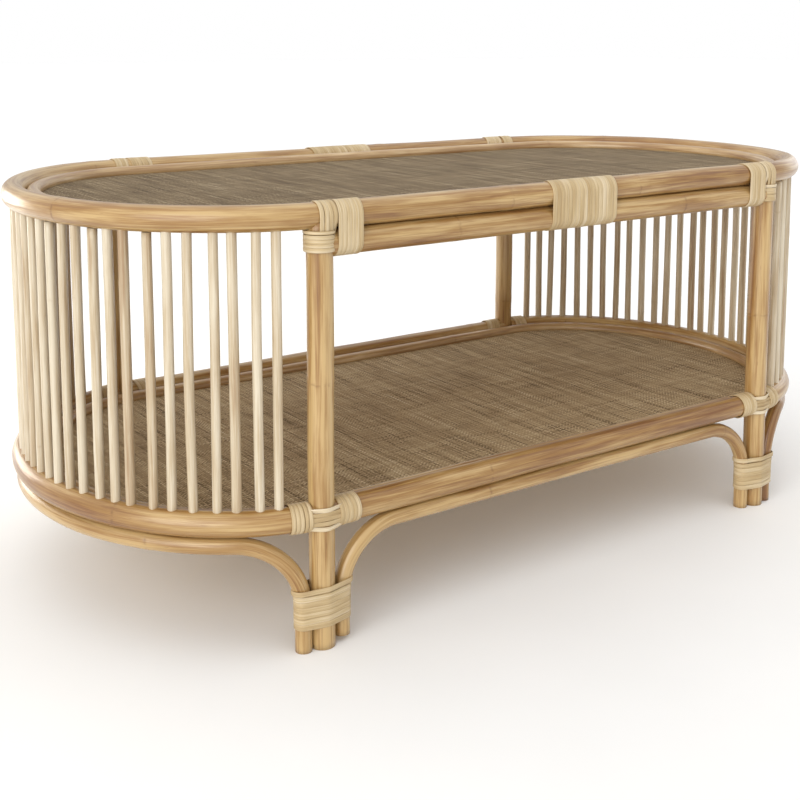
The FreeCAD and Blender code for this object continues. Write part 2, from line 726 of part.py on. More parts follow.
def make_corner_bindings():
    """Straps over the top hoop, collar round the post, and a wrap round hoop and apron beside it."""
    gap = number("dims.fit_gap") / 2
    thick = number("dims.binding_thickness")
    pole = number(POLE_R)
    post_x = number("dims.post_offset")
    end_x = number("dims.end_start")
    past = post_x - end_x
    strap_width = number("dims.strap_width")
    near = post_x - pole - number("dims.wrap_space")
    far = near - number("dims.corner_wrap_width")
    top = number(TOP_Z)
    low = number(COLLAR_Z)
    for depth, side_name in CORNERS:
        way = DEPTHS[depth]
        side = SIDES[side_name]
        y = way * number(RAIL_Y)
        centres = [FreeCAD.Vector(0, y, top), FreeCAD.Vector(0, y, number(APRON_Z))]
        radii = [pole + thick, number(APRON_R) + thick]
        wrap = hull_of_poles(centres, radii, *sorted((side * near, side * far)), X)
        strap_line = outline_edge(way, side, top, past - pole, past - pole + strap_width)
        strap = pipe_along([strap_line], pole + thick)
        collar = round_bar(pole + thick, FreeCAD.Vector(side * post_x, y, low), Z, top - low)
        poles = [
            pipe_along([outline_edge(way, side, top, 0, past + 2 * pole)], pole + gap),
            round_bar(pole + gap, FreeCAD.Vector(side * post_x, y, 0), Z, top),
            side_bar(way, pole + gap, TOP_Z, end_x),
            side_bar(way, number(APRON_R) + gap, APRON_Z, post_x),
        ]
        name = f"top_corner_binding_{depth}_{side_name}"
        winding(name, [wrap, strap, collar], poles, ["top_inner_hoop"])


def make_shelf_bindings():
    """A wrap round the lower rail and the lower hoop beside a post, and strips that cross the post."""
    gap = number("dims.fit_gap") / 2
    thick = number("dims.binding_thickness")
    pole = number(POLE_R)
    post_x = number("dims.post_offset")
    past = post_x - number("dims.end_start")
    space = number("dims.wrap_space")
    width = number("dims.shelf_wrap_width")
    end_width = number("dims.end_wrap_width")
    z = number(SHELF_Z)
    tall = number("dims.shelf_strip_height")
    lap = pole + number("dims.strip_lap")
    for depth, side_name in CORNERS:
        way = DEPTHS[depth]
        side = SIDES[side_name]
        y = way * number(RAIL_Y)
        near = post_x - pole - space
        low_x = min(side * near, side * (near - width))
        inner = round_bar(pole + thick, FreeCAD.Vector(low_x, y, z), X, width)
        first = past + pole + space
        outer = pipe_along([outline_edge(way, side, z, first, first + end_width)], pole + thick)
        corner = FreeCAD.Vector(side * post_x - lap, min(y, y + way * (pole + thick)), z - tall / 2)
        strips = Part.makeBox(2 * lap, pole + thick, tall, corner)
        poles = [
            pipe_along([outline_edge(way, side, z, 0, first + end_width + pole)], pole + gap),
            round_bar(pole + gap, FreeCAD.Vector(side * post_x, y, 0), Z, number(TOP_Z)),
            side_bar(way, pole + gap, SHELF_Z, post_x),
        ]
        name = f"shelf_joint_binding_{depth}_{side_name}"
        neighbours = ["shelf_inner_hoop", f"{side_name}_spindles", f"{depth}_brace",
                      f"{side_name}_end_brace"]
        winding(name, [inner, outer, strips], poles, neighbours)


def make_foot_bindings():
    """Round the post and the two brace feet beside it, wider where the braces turn away from it."""
    gap = number("dims.fit_gap")
    thick = number("dims.binding_thickness")
    pole = number(POLE_R)
    brace = number(BRACE_R)
    bend = number("dims.brace_bend")
    low = number("dims.foot_wrap_bottom")
    high = low + number("dims.foot_wrap_height")
    turn_z = number(BRACE_Z) - bend
    post = FreeCAD.Vector(number("dims.post_offset"), -number(RAIL_Y), 0)
    feet = [post + X * (way * number(FOOT_PITCH)) for way in (-1, 1)]
    swing = math.asin((high + number("dims.foot_wrap_slack") - turn_z) / bend)
    end_spot = end_turn(swing)[0]
    end_spot.z = 0
    turned = [feet[0] - X * (bend * (1 - math.cos(swing))), end_spot]
    wide = [brace + thick, pole + thick, brace + thick]
    lower = hull_of_poles([feet[0], post, feet[1]], wide, low, turn_z, Z)
    upper = hull_of_poles([turned[0], post, turned[1]], wide, turn_z, high, Z)
    mass = lower.fuse(upper).cut(round_bar(pole + gap, post, Z, high + pole))
    for foot, far in zip(feet, turned):
        mass = mass.cut(round_bar(brace + gap, foot, Z, high + pole))
        mass = mass.cut(hull_of_poles([foot, far], [brace + gap] * 2, turn_z, high + pole, Z))
    mass = mass.cut(parts["foot_screws"].Shape)
    front_right = max(mass.Solids, key=lambda solid: solid.Volume)
    for depth, side_name in CORNERS:
        solid = front_right
        if side_name == "left":
            solid = solid.mirror(FreeCAD.Vector(), X)
        if depth == "back":
            solid = solid.mirror(FreeCAD.Vector(), Y)
        shape_part(f"foot_binding_{depth}_{side_name}", solid)


# ---------------------------------------------------------------- the table

spindle_holes = make_spindles()
post_holes = make_post_screws()
foot_holes = make_foot_screws()
dowel_holes = make_dowels()
rail_pin_holes = make_rail_pins()
batten_pin_holes = make_batten_pins()
board_screw_holes = make_board_screws()
hoop_pin_holes = make_hoop_pins()

hoop_cutters = {}
for side_name, side in SIDES.items():
    cutter_radius = f"{POLE_R} + dims.fit_gap"
    hoop_cutters[side_name] = half_hoop(f"{side_name}_hoop_cutter", side, TOP_Z, cutter_radius)
    hoop = half_hoop(f"{side_name}_top_pole", side, TOP_Z, POLE_R)
    top_drills = [spindle_holes[side_name], post_holes, dowel_holes["hoop"], rail_pin_holes,
                  hoop_pin_holes]
    keep(f"top_hoop_{side_name}", cut(f"top_hoop_{side_name}", hoop, top_drills))

post_tools = post_cutters()
make_posts(hoop_cutters, [post_holes, dowel_holes["apron"], dowel_holes["shelf"], foot_holes])
make_straight_rails(post_tools, [dowel_holes["apron"], rail_pin_holes, batten_pin_holes],
                    [dowel_holes["shelf"], rail_pin_holes, hoop_pin_holes])
for side_name, side in SIDES.items():
    rim = end_hoop(f"{side_name}_shelf_pole", side, SHELF_Z, POLE_R)
    end_drills = [spindle_holes[side_name], dowel_holes["shelf"], rail_pin_holes, hoop_pin_holes]
    keep(f"shelf_end_hoop_{side_name}", cut(f"shelf_end_hoop_{side_name}", rim, post_tools + end_drills))

make_side_braces([foot_holes, rail_pin_holes, batten_pin_holes])
make_end_braces([foot_holes, rail_pin_holes])
make_battens(hoop_cutters, [batten_pin_holes, board_screw_holes])

for tier, tier_z in TIERS.items():
    thin = inner_hoop(f"{tier}_inner_pole", tier_z)
    keep(f"{tier}_inner_hoop", cut(f"{tier}_inner_hoop", thin, [hoop_pin_holes]))
    mat_top = f"({tier_z} - dims.mat_drop)"
    keep(f"{tier}_woven_mat", panel(f"{tier}_mat", mat_top, "dims.mat_thickness"))
    board = panel(f"{tier}_board", f"({mat_top} - dims.mat_thickness)", "dims.board_thickness")
    keep(f"{tier}_panel_board", cut(f"{tier}_panel_board", board, [board_screw_holes]))

doc.recompute()
make_centre_bindings()
make_corner_bindings()
make_shelf_bindings()
make_foot_bindings()
doc.recompute()

for item in doc.Objects:
    if "Invalid" in item.State or "Error" in item.State:
        raise RuntimeError(f"{item.Label} did not compute: {item.State}")
for name, item in parts.items():
    if item.Shape.isNull() or not item.Shape.isValid() or not item.Shape.Solids:
        raise RuntimeError(f"{name} has no valid solid")

os.makedirs("parts", exist_ok=True)
for name, item in parts.items():
    item.Shape.exportStep(f"parts/{name}.step")
    print(f"{name}: {len(item.Shape.Solids)} solid(s), {item.Shape.Volume / 1000:.1f} cm3")
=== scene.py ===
"""Looks of the rattan coffee table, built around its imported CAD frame. Metres."""
import functools
import json
import math

import bpy
import numpy as np
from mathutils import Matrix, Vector


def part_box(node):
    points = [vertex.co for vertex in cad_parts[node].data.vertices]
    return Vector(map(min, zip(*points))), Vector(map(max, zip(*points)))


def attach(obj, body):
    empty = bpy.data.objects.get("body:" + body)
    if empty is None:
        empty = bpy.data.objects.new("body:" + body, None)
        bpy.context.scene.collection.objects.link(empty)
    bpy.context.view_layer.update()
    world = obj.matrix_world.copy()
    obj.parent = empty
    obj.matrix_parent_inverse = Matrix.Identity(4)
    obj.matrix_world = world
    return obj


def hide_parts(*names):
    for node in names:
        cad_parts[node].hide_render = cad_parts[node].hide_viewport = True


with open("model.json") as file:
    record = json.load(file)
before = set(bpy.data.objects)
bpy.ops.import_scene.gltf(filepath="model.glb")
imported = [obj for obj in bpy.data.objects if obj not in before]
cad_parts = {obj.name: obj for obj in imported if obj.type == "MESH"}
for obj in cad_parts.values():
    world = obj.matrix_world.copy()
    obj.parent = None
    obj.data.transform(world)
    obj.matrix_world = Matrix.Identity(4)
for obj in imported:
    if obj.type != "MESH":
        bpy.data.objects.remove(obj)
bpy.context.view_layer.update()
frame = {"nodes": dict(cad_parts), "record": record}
rng = np.random.default_rng(20261)

MM = 0.001

# ---------------------------------------------------------------- places, from the frame


def box(node):
    """Lowest corner, highest corner, middle and half size of a CAD node."""
    lo, hi = (np.array(corner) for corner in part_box(node))
    return lo, hi, (lo + hi) / 2, (hi - lo) / 2


_, _, post_mid, post_half = box("post_front_right")
_, ring_hi, _, _ = box("top_hoop_right")
_, _, rail_mid, _ = box("shelf_front_rail")
_, _, apron_mid, apron_half = box("front_apron_rail")
_, brace_hi, _, brace_half = box("front_brace")
end_brace_lo, _, _, _ = box("right_end_brace")
_, thin_hi, thin_mid, thin_half = box("top_inner_hoop")
_, _, low_thin_mid, _ = box("shelf_inner_hoop")
_, mat_hi, _, _ = box("top_woven_mat")
_, low_mat_hi, _, _ = box("shelf_woven_mat")
_, _, spindle_mid, spindle_half = box("left_spindles")

POLE_R = post_half[0]
POST_X = post_mid[0]
SIDE_Y = -post_mid[1]
TOP_Z = ring_hi[2] - POLE_R
SHELF_Z = rail_mid[2]
APRON_Z = apron_mid[2]
APRON_R = apron_half[2]
BRACE_R = brace_half[1]
BRACE_Z = brace_hi[2] - BRACE_R
BRACE_FOOT_X = brace_hi[0] - BRACE_R
END_X = 321 * MM
END_REACH = ring_hi[0] - POLE_R - END_X
THIN_R = thin_half[2]
THIN_INSET = ring_hi[0] - POLE_R - (thin_hi[0] - THIN_R)
BEND_R = 68 * MM
FOOT_PITCH = POST_X - BRACE_FOOT_X
HOOP_JOINT_X = 8 * MM
SPINDLE_R = 5.25 * MM
SPINDLE_COUNT = 30
SPINDLE_MARGIN = 54.6 * MM
PEEL_T = 1.3 * MM
WEAVE_PITCH = 2.6 * MM

# ---------------------------------------------------------------- node graphs


class Graph:
    """A material and short names for the nodes that it is made of."""

    def __init__(self, name, roughness=0.5, **settings):
        self.material = bpy.data.materials.new(name)
        self.material.use_nodes = True
        self.tree = self.material.node_tree
        self.shader = self.tree.nodes["Principled BSDF"]
        self.shader.inputs["Roughness"].default_value = roughness
        for socket, value in settings.items():
            self.shader.inputs[socket.replace("_", " ")].default_value = value

    def node(self, kind, inputs=None, **settings):
        made = self.tree.nodes.new(kind)
        for key, value in settings.items():
            setattr(made, key, value)
        for key, value in (inputs or {}).items():
            if isinstance(value, bpy.types.NodeSocket):
                self.tree.links.new(value, made.inputs[key])
            else:
                made.inputs[key].default_value = value
        return made

    def attribute(self, name, output="Vector"):
        return self.node("ShaderNodeAttribute", attribute_name=name).outputs[output]

    def math(self, operation, first, second=0.0, third=0.0, clamp=False):
        inputs = {0: first, 1: second, 2: third}
        return self.node("ShaderNodeMath", inputs, operation=operation, use_clamp=clamp).outputs[0]

    def stretch(self, vector, scale, shift=(0, 0, 0)):
        inputs = {0: vector, 1: scale, 2: shift}
        return self.node("ShaderNodeVectorMath", inputs, operation="MULTIPLY_ADD").outputs[0]

    def noise(self, vector, detail=2.0, rough=0.5, twist=0.0):
        inputs = {"Vector": vector, "Scale": 1.0, "Detail": detail, "Roughness": rough, "Distortion": twist}
        return self.node("ShaderNodeTexNoise", inputs).outputs["Fac"]

    def span(self, value, low, high, to_low=0.0, to_high=1.0):
        inputs = {"Value": value, "From Min": low, "From Max": high, "To Min": to_low, "To Max": to_high}
        return self.node("ShaderNodeMapRange", inputs).outputs[0]

    def ramp(self, value, stops):
        made = self.node("ShaderNodeValToRGB", {"Fac": value})
        elements = made.color_ramp.elements
        while len(elements) < len(stops):
            elements.new(0.5)
        for element, (place, colour) in zip(elements, stops):
            element.position = place
            element.color = (*colour, 1)
        return made.outputs["Color"]

    def mix(self, amount, first, second):
        made = self.node("ShaderNodeMix", data_type="RGBA")
        for socket, value in ((made.inputs[0], amount), (made.inputs[6], first), (made.inputs[7], second)):
            if isinstance(value, bpy.types.NodeSocket):
                self.tree.links.new(value, socket)
            else:
                socket.default_value = value if isinstance(value, float) else (*value, 1)
        return made.outputs[2]

    def finish(self, colour, height, strength, distance, rough=None):
        self.tree.links.new(colour, self.shader.inputs["Base Color"])
        if rough is not None:
            self.tree.links.new(rough, self.shader.inputs["Roughness"])
        bump = self.node("ShaderNodeBump", {"Height": height, "Strength": strength, "Distance": distance})
        self.tree.links.new(bump.outputs[0], self.shader.inputs["Normal"])
        return self.material


# Noise is stretched by cycles per metre: first along a pole or a strip, then across it.


def rattan(name, dark, middle, pale, mark, marks, gloss=0.36):
    """Peeled and lacquered rattan: long fibres, cloudy tone, dark flecks, and marks at its nodes."""
    g = Graph(name, Coat_Weight=0.6, Coat_Roughness=0.22, Specular_IOR_Level=0.42)
    place = g.attribute("place")
    tone = g.attribute("tone", "Fac")
    knot_and_edge_shade = g.attribute("knot_and_edge_shade", "Fac")
    fibre = g.noise(g.stretch(place, (9, 240, 240)), detail=4, rough=0.62, twist=0.3)
    fine = g.noise(g.stretch(place, (24, 1300, 1300)), detail=2, rough=0.6)
    cloud = g.noise(g.stretch(place, (6, 42, 42), (7, 3, 1)), detail=3, rough=0.6)
    mixed = g.math("MULTIPLY_ADD", fibre, 0.60, g.math("MULTIPLY", fine, 0.20))
    mixed = g.math("MULTIPLY_ADD", cloud, 0.46, mixed)
    mixed = g.math("MULTIPLY_ADD", g.math("SUBTRACT", tone, 0.5), 0.16, mixed)
    colour = g.ramp(mixed, [(0.47, dark), (0.62, middle), (0.77, pale)])
    fleck = g.span(g.noise(g.stretch(place, (70, 620, 620), (3, 9, 4)), detail=1), 0.715, 0.80)
    scar = g.span(g.noise(g.stretch(place, (120, 150, 150), (1, 5, 8)), detail=2), 0.44, 0.66)
    worst = g.math("MAXIMUM", g.math("MULTIPLY", fleck, 0.55), g.math("MULTIPLY", scar, knot_and_edge_shade))
    spots = g.math("MULTIPLY", worst, 0.75 * marks, clamp=True)
    streak = g.noise(g.stretch(place, (3.5, 430, 430), (5, 2, 9)), detail=2, rough=0.55, twist=0.2)
    colour = g.mix(g.math("MULTIPLY", g.span(streak, 0.54, 0.70), 0.32 * marks), colour, dark)
    colour = g.mix(spots, colour, mark)
    height = g.math("MULTIPLY_ADD", fibre, 0.7, g.math("MULTIPLY", fine, 0.5))
    height = g.math("SUBTRACT", height, g.math("MULTIPLY", spots, 0.5))
    rough = g.span(mixed, 0.3, 0.9, gloss + 0.10, gloss - 0.02)
    return g.finish(colour, height, 0.28, 0.0006, rough)


def peel(name, dark, middle, pale, hair_colour, painted_gap_shade):
    """Flat strips of rattan peel: fine fibres along each strip, and painted shade that darkens them where
    strips meet.
    """
    g = Graph(name, Coat_Weight=0.12, Coat_Roughness=0.35, Specular_IOR_Level=0.4)
    place = g.attribute("place")
    tone = g.attribute("tone", "Fac")
    edge = g.attribute("knot_and_edge_shade", "Fac")
    fibre = g.noise(g.stretch(place, (16, 1100, 1100)), detail=3, rough=0.7)
    cloud = g.noise(g.stretch(place, (14, 60, 60), (2, 8, 5)), detail=3)
    mixed = g.math("MULTIPLY_ADD", fibre, 0.62, g.math("MULTIPLY_ADD", cloud, 0.42, -0.06))
    mixed = g.math("MULTIPLY_ADD", g.math("SUBTRACT", tone, 0.5), 0.12, mixed)
    colour = g.ramp(mixed, [(0.28, dark), (0.47, middle), (0.68, pale)])
    hairs = g.span(g.noise(g.stretch(place, (40, 2600, 2600)), detail=1), 0.62, 0.74)
    colour = g.mix(g.math("MULTIPLY", hairs, 0.42), colour, hair_colour)
    # Painted shade: each strip darkens towards its edges, where it meets the next strip.
    shade = g.math("MULTIPLY", g.math("POWER", edge, 3.0), 0.34)
    colour = g.mix(shade, colour, painted_gap_shade)
    height = g.math("MULTIPLY_ADD", fibre, 0.8, g.math("MULTIPLY", hairs, -0.4))
    rough = g.span(mixed, 0.2, 0.8, 0.56, 0.44)
    return g.finish(colour, height, 0.35, 0.0006, rough)


KEEP_POSITIVE = 2000.0


def weave(name, dark, middle, pale, straw):
    """Two-way weave of split cane. Its place attribute counts strands along and across the table."""
    g = Graph(name, Specular_IOR_Level=0.16, Sheen_Weight=0.03, Sheen_Roughness=0.6)
    count = g.attribute("place")
    parts = g.node("ShaderNodeSeparateXYZ", {0: count}).outputs
    across, along = parts[0], parts[1]
    cell_x = g.math("FLOOR", across)
    cell_y = g.math("FLOOR", along)
    parity = g.math("MODULO", g.math("ADD", g.math("ADD", cell_x, cell_y), 2 * KEEP_POSITIVE), 2.0)
    in_x = g.math("FRACT", g.math("ADD", across, KEEP_POSITIVE))
    in_y = g.math("FRACT", g.math("ADD", along, KEEP_POSITIVE))
    bow_x = g.math("SINE", g.math("MULTIPLY", in_x, math.pi))
    bow_y = g.math("SINE", g.math("MULTIPLY", in_y, math.pi))
    weft = g.node("ShaderNodeCombineXYZ", {0: g.math("MULTIPLY", across, 0.03),
                                           1: g.math("MULTIPLY", cell_y, 7.31)}).outputs[0]
    warp = g.node("ShaderNodeCombineXYZ", {0: g.math("MULTIPLY", cell_x, 5.17),
                                           1: g.math("MULTIPLY", along, 0.022), 2: 40.0}).outputs[0]
    weft_tone = g.noise(weft, detail=3, rough=0.65)
    warp_tone = g.noise(warp, detail=2, rough=0.6)
    cloud = g.noise(g.stretch(count, (0.16, 0.009, 1.0)), detail=4, rough=0.65)
    hair = g.noise(g.stretch(count, (0.5, 5.5, 1.0)), detail=2, rough=0.6)
    hair_warp = g.noise(g.stretch(count, (5.5, 0.7, 1.0)), detail=2, rough=0.6)
    weft_mix = g.math("MULTIPLY_ADD", weft_tone, 0.9, g.math("MULTIPLY_ADD", hair, 0.45, -0.175))
    warp_mix = g.math("MULTIPLY_ADD", warp_tone, 1.3, g.math("MULTIPLY_ADD", hair_warp, 0.45, -0.355))
    clouded = g.math("MULTIPLY_ADD", cloud, 0.30, -0.15)
    shades = (dark, middle, pale, straw)
    weft_colour = g.ramp(g.math("ADD", weft_mix, clouded), list(zip((0.28, 0.52, 0.74, 0.90), shades)))
    warp_colour = g.ramp(g.math("ADD", warp_mix, clouded), list(zip((0.28, 0.50, 0.74, 0.92), shades)))
    colour = g.mix(parity, weft_colour, warp_colour)
    top = g.math("MULTIPLY", bow_x, bow_y)
    # Painted shade: the colour darkens towards the edges of each cell, where the strands dip under each
    # other.
    gap = g.math("POWER", g.math("SUBTRACT", 1.0, top), 3.0)
    colour = g.mix(g.math("MULTIPLY", gap, 0.75), colour, tuple(0.35 * part for part in dark))
    height = g.math("MULTIPLY_ADD", top, 1.0, g.math("MULTIPLY", hair, 0.35))
    rough = g.span(weft_mix, 0.2, 0.8, 0.82, 0.64)
    return g.finish(colour, height, 0.6, 0.0007, rough)


PLY_PAIR = 2.4 * MM


def sawn_wood(name, dark, pale, scale, roughness, plies=False):
    """Plain sawn timber or plywood, with grain along one axis."""
    g = Graph(name, roughness, Specular_IOR_Level=0.3)
    spot = g.node("ShaderNodeTexCoord").outputs["Object"]
    grain = g.noise(g.stretch(spot, scale), detail=5, rough=0.6, twist=0.4)
    pores = g.noise(g.stretch(spot, tuple(6 * part for part in scale)), detail=2)
    colour = g.ramp(grain, [(0.32, dark), (0.68, pale)])
    colour = g.mix(g.math("MULTIPLY", g.span(pores, 0.6, 0.75), 0.4), colour,
                   tuple(0.4 * part for part in dark))
    if plies:
        height_z = g.node("ShaderNodeSeparateXYZ", {0: spot}).outputs[2]
        layers = g.math("SINE", g.math("MULTIPLY", height_z, 2 * math.pi / PLY_PAIR))
        faced = g.node("ShaderNodeSeparateXYZ", {0: g.node("ShaderNodeNewGeometry").outputs["True Normal"]})
        upright = g.math("SUBTRACT", 1.0, g.math("ABSOLUTE", faced.outputs[2]))
        glue = g.math("MULTIPLY", g.span(layers, -0.2, 0.2), g.math("MULTIPLY", upright, 0.5))
        colour = g.mix(glue, colour, tuple(0.5 * part for part in dark))
    return g.finish(colour, grain, 0.3, 0.0008, g.span(grain, 0.3, 0.7, roughness + 0.08, roughness - 0.05))


def plated_steel(name):
    """Zinc plated steel with a fine turned finish."""
    g = Graph(name, Metallic=1.0)
    spot = g.node("ShaderNodeTexCoord").outputs["Object"]
    turned = g.noise(g.stretch(spot, (900, 900, 5200)), detail=2)
    blotch = g.noise(g.stretch(spot, (160, 160, 160)), detail=3)
    colour = g.ramp(blotch, [(0.3, (0.42, 0.42, 0.41)), (0.7, (0.66, 0.65, 0.62))])
    return g.finish(colour, turned, 0.2, 0.0002, g.span(turned, 0.3, 0.7, 0.28, 0.46))


def floor_paint(name):
    """Pale matt floor with a very faint mottle."""
    g = Graph(name, Specular_IOR_Level=0.12)
    spot = g.node("ShaderNodeTexCoord").outputs["Object"]
    mottle = g.noise(g.stretch(spot, (3, 3, 3)), detail=4)
    colour = g.ramp(mottle, [(0.3, (0.90, 0.90, 0.895)), (0.7, (0.93, 0.93, 0.925))])
    return g.finish(colour, mottle, 0.02, 0.001, g.span(mottle, 0.3, 0.7, 0.72, 0.8))


POLE = rattan("rattan_pole", dark=(0.190, 0.076, 0.019), middle=(0.335, 0.183, 0.054),
              pale=(0.532, 0.360, 0.155), mark=(0.15, 0.060, 0.016), marks=0.75)
THIN = rattan("rattan_inner_pole", dark=(0.29, 0.155, 0.058), middle=(0.47, 0.305, 0.14),
              pale=(0.66, 0.50, 0.29), mark=(0.18, 0.08, 0.028), marks=0.5)
SPINDLE = rattan("rattan_spindle", dark=(0.36, 0.235, 0.125), middle=(0.515, 0.41, 0.268),
                 pale=(0.665, 0.585, 0.445), mark=(0.32, 0.18, 0.075), marks=0.35, gloss=0.46)
# The peel's darkest colour, at the edges of strips, is painted shade in the gaps between them.
PEEL = peel("rattan_peel", dark=(0.39, 0.265, 0.122), middle=(0.54, 0.41, 0.228), pale=(0.73, 0.622, 0.446),
            hair_colour=(0.40, 0.25, 0.11), painted_gap_shade=(0.30, 0.17, 0.07))
TOP_WEAVE = weave("woven_mat_top", dark=(0.074, 0.044, 0.019), middle=(0.228, 0.156, 0.079),
                  pale=(0.50, 0.388, 0.228), straw=(0.76, 0.64, 0.43))
# Painted light: the shelf mat is set much paler than the top mat, to make up for the shade that the top casts
# on it.
SHELF_WEAVE_PAINTED_LIGHT = weave("woven_mat_shelf_painted_light", dark=(0.13, 0.079, 0.034), middle=(0.51, 0.362, 0.192),
                  pale=(0.81, 0.65, 0.405), straw=(0.95, 0.84, 0.62))

# ---------------------------------------------------------------- lines


def spread(count, low, high):
    """Random numbers between low and high, or a single one when count is None."""
    return low + (high - low) * rng.random(count)


def end_table():
    """Angle and distance along the rounded end's line, from its front start."""
    angles = np.linspace(-math.pi / 2, math.pi / 2, 7201)
    middles = (angles[1:] + angles[:-1]) / 2
    steps = np.diff(angles) * np.hypot(END_REACH * np.sin(middles), SIDE_Y * np.cos(middles))
    return angles, np.concatenate([[0], np.cumsum(steps)])


END_ANGLES, END_WALK = end_table()
END_LENGTH = END_WALK[-1]


def end_points(distance, inset=0.0):
    """Points on the right-hand rounded end and the ways out from it, at distances from its front start."""
    angles = np.interp(distance, END_WALK, END_ANGLES)
    x = END_X + (END_REACH - inset) * np.cos(angles)
    y = (SIDE_Y - inset) * np.sin(angles)
    out = np.stack([np.cos(angles) / END_REACH, np.sin(angles) / SIDE_Y], -1)
    return np.stack([x, y], -1), out / np.linalg.norm(out, axis=-1, keepdims=True)


def lengths(points):
    """How far along a line each of its points lies."""
    return np.concatenate([[0], np.cumsum(np.linalg.norm(np.diff(points, axis=0), axis=1))])


def read_off(stops, walked, values):
    """Values known at the distances walked, read off at other distances."""
    return np.stack([np.interp(stops, walked, column) for column in values.T], -1)


def unit(vectors):
    """Vectors at length one."""
    return vectors / np.maximum(np.linalg.norm(vectors, axis=-1, keepdims=True), 1e-12)


def headings(points, closed=False):
    """The directions in which a line runs."""
    if closed:
        return unit(np.roll(points, -1, 0) - np.roll(points, 1, 0))
    return unit(np.gradient(points, axis=0))


def at_height(curve, z, side=1):
    """A flat line set at a height, and mirrored for the left-hand end."""
    points = np.column_stack([curve, np.full(len(curve), z)])
    points[:, 0] *= side
    return points


def hoop_half(side, z):
    """Half of the top ring, joint to joint. Both joints lie on the same side of the middle."""
    curve, _ = end_points(np.linspace(0, END_LENGTH, 400))
    joint_x = HOOP_JOINT_X * side
    return at_height(np.concatenate([[[joint_x, -SIDE_Y]], curve, [[joint_x, SIDE_Y]]]), z, side)


def hoop_end(side, z):
    """The rounded end between the middles of two posts."""
    curve, _ = end_points(np.linspace(0, END_LENGTH, 400))
    return at_height(curve[curve[:, 0] > POST_X], z, side)


def thin_loop(z):
    """The closed line of a thin inner hoop."""
    curve, _ = end_points(np.linspace(0, END_LENGTH, 300), THIN_INSET)
    return at_height(np.concatenate([curve, -curve]), z)


TURN = np.linspace(0, math.pi / 2, 24)


def side_brace(way):
    """Foot, turn, straight run, turn, foot, along one side."""
    x = np.concatenate([[BRACE_FOOT_X], BRACE_FOOT_X - BEND_R * (1 - np.cos(TURN))])
    z = np.concatenate([[0], BRACE_Z - BEND_R + BEND_R * np.sin(TURN)])
    half = np.column_stack([x, np.full(len(x), way * SIDE_Y), z])
    return np.concatenate([half, (half * (-1, 1, 1))[::-1]])


def end_brace(side):
    """Foot, rising turn on to the curve of the end, and the same down the other side."""
    start_x = end_brace_lo[0] + BRACE_R
    angle = math.asin((start_x - END_X) / END_REACH) - math.pi / 2
    start = np.interp(angle, END_ANGLES, END_WALK)
    foot_out = SIDE_Y * (1 + math.sin(angle))
    rising, _ = end_points(start + BEND_R * (1 - np.cos(TURN)))
    rising[:, 1] -= foot_out * np.cos(TURN) ** 2
    rising = np.column_stack([rising, BRACE_Z - BEND_R + BEND_R * np.sin(TURN)])
    run, _ = end_points(np.linspace(start + BEND_R, END_LENGTH / 2, 120)[1:])
    half = np.concatenate([[[rising[0, 0], rising[0, 1], 0]], rising, at_height(run, BRACE_Z)])
    points = np.concatenate([half, (half * (1, -1, 1))[-2::-1]])
    points[:, 0] *= side
    return points


# ---------------------------------------------------------------- meshes


class Piece:
    """Collects swept parts into one mesh with place, tone and knot written on its points; on strips, knot
    marks their edges for painted shade.
    """

    def __init__(self):
        self.points, self.faces, self.flat = [], [], []
        self.place, self.tone, self.knot_and_edge_shade = [], [], []
        self.total = 0

    def sweep(self, rings, place, tone, knot_and_edge_shade, closed=False):
        """Join each ring of points to the next, with caps unless closed. Rings are (count, sides, 3)."""
        count, sides = rings.shape[:2]
        index = np.arange(count * sides).reshape(count, sides) + self.total
        rows = np.concatenate([index, index[:1]]) if closed else index
        a, b = rows[:-1], rows[1:]
        quads = np.stack([a, np.roll(a, -1, 1), np.roll(b, -1, 1), b], -1).reshape(-1, 4).tolist()
        caps = [] if closed else [index[0][::-1].tolist(), index[-1].tolist()]
        self.points.append(rings.reshape(-1, 3))
        self.faces += quads + caps
        self.flat += [False] * len(quads) + [True] * len(caps)
        self.place.append(place.reshape(-1, 3))
        self.tone.append(np.broadcast_to(tone, (count, sides)).reshape(-1))
        self.knot_and_edge_shade.append(np.broadcast_to(knot_and_edge_shade, (count, sides)).reshape(-1))
        self.total += count * sides

    def make(self, name, material, slot, *nodes):
        """Turn what was collected into an object that stands in for CAD nodes."""
        mesh = bpy.data.meshes.new(name)
        mesh.from_pydata(np.concatenate(self.points).tolist(), [], self.faces)
        mesh.polygons.foreach_set("use_smooth", [not flat for flat in self.flat])
        for key, kind, data in (("place", "FLOAT_VECTOR", self.place), ("tone", "FLOAT", self.tone),
                                ("knot_and_edge_shade", "FLOAT", self.knot_and_edge_shade)):
            attribute = mesh.attributes.new(key, kind, "POINT")
            values = np.concatenate(data).astype(np.float32).ravel()
            attribute.data.foreach_set("vector" if kind == "FLOAT_VECTOR" else "value", values)
        mesh.materials.append(material)
        mesh.update()
        return finish_piece(bpy.data.objects.new(name, mesh), slot, *nodes)


def finish_piece(item, slot, *nodes):
    bpy.context.scene.collection.objects.link(item)
    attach(item, "root")
    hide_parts(*nodes)
    return item


def cross_ways(points, closed):
    """Steady cross directions along a line, two at each point."""
    heading = headings(points, closed)
    side = np.cross(heading[0], (0, 0, 1))
    if np.linalg.norm(side) < 0.1:
        side = np.cross(heading[0], (1, 0, 0))
    side = side / np.linalg.norm(side)
    sides = []
    for direction in heading:
        side = side - direction * (side @ direction)
        side = side / np.linalg.norm(side)
        sides.append(side)
    sides = np.array(sides)
    return sides, np.cross(sides, heading)


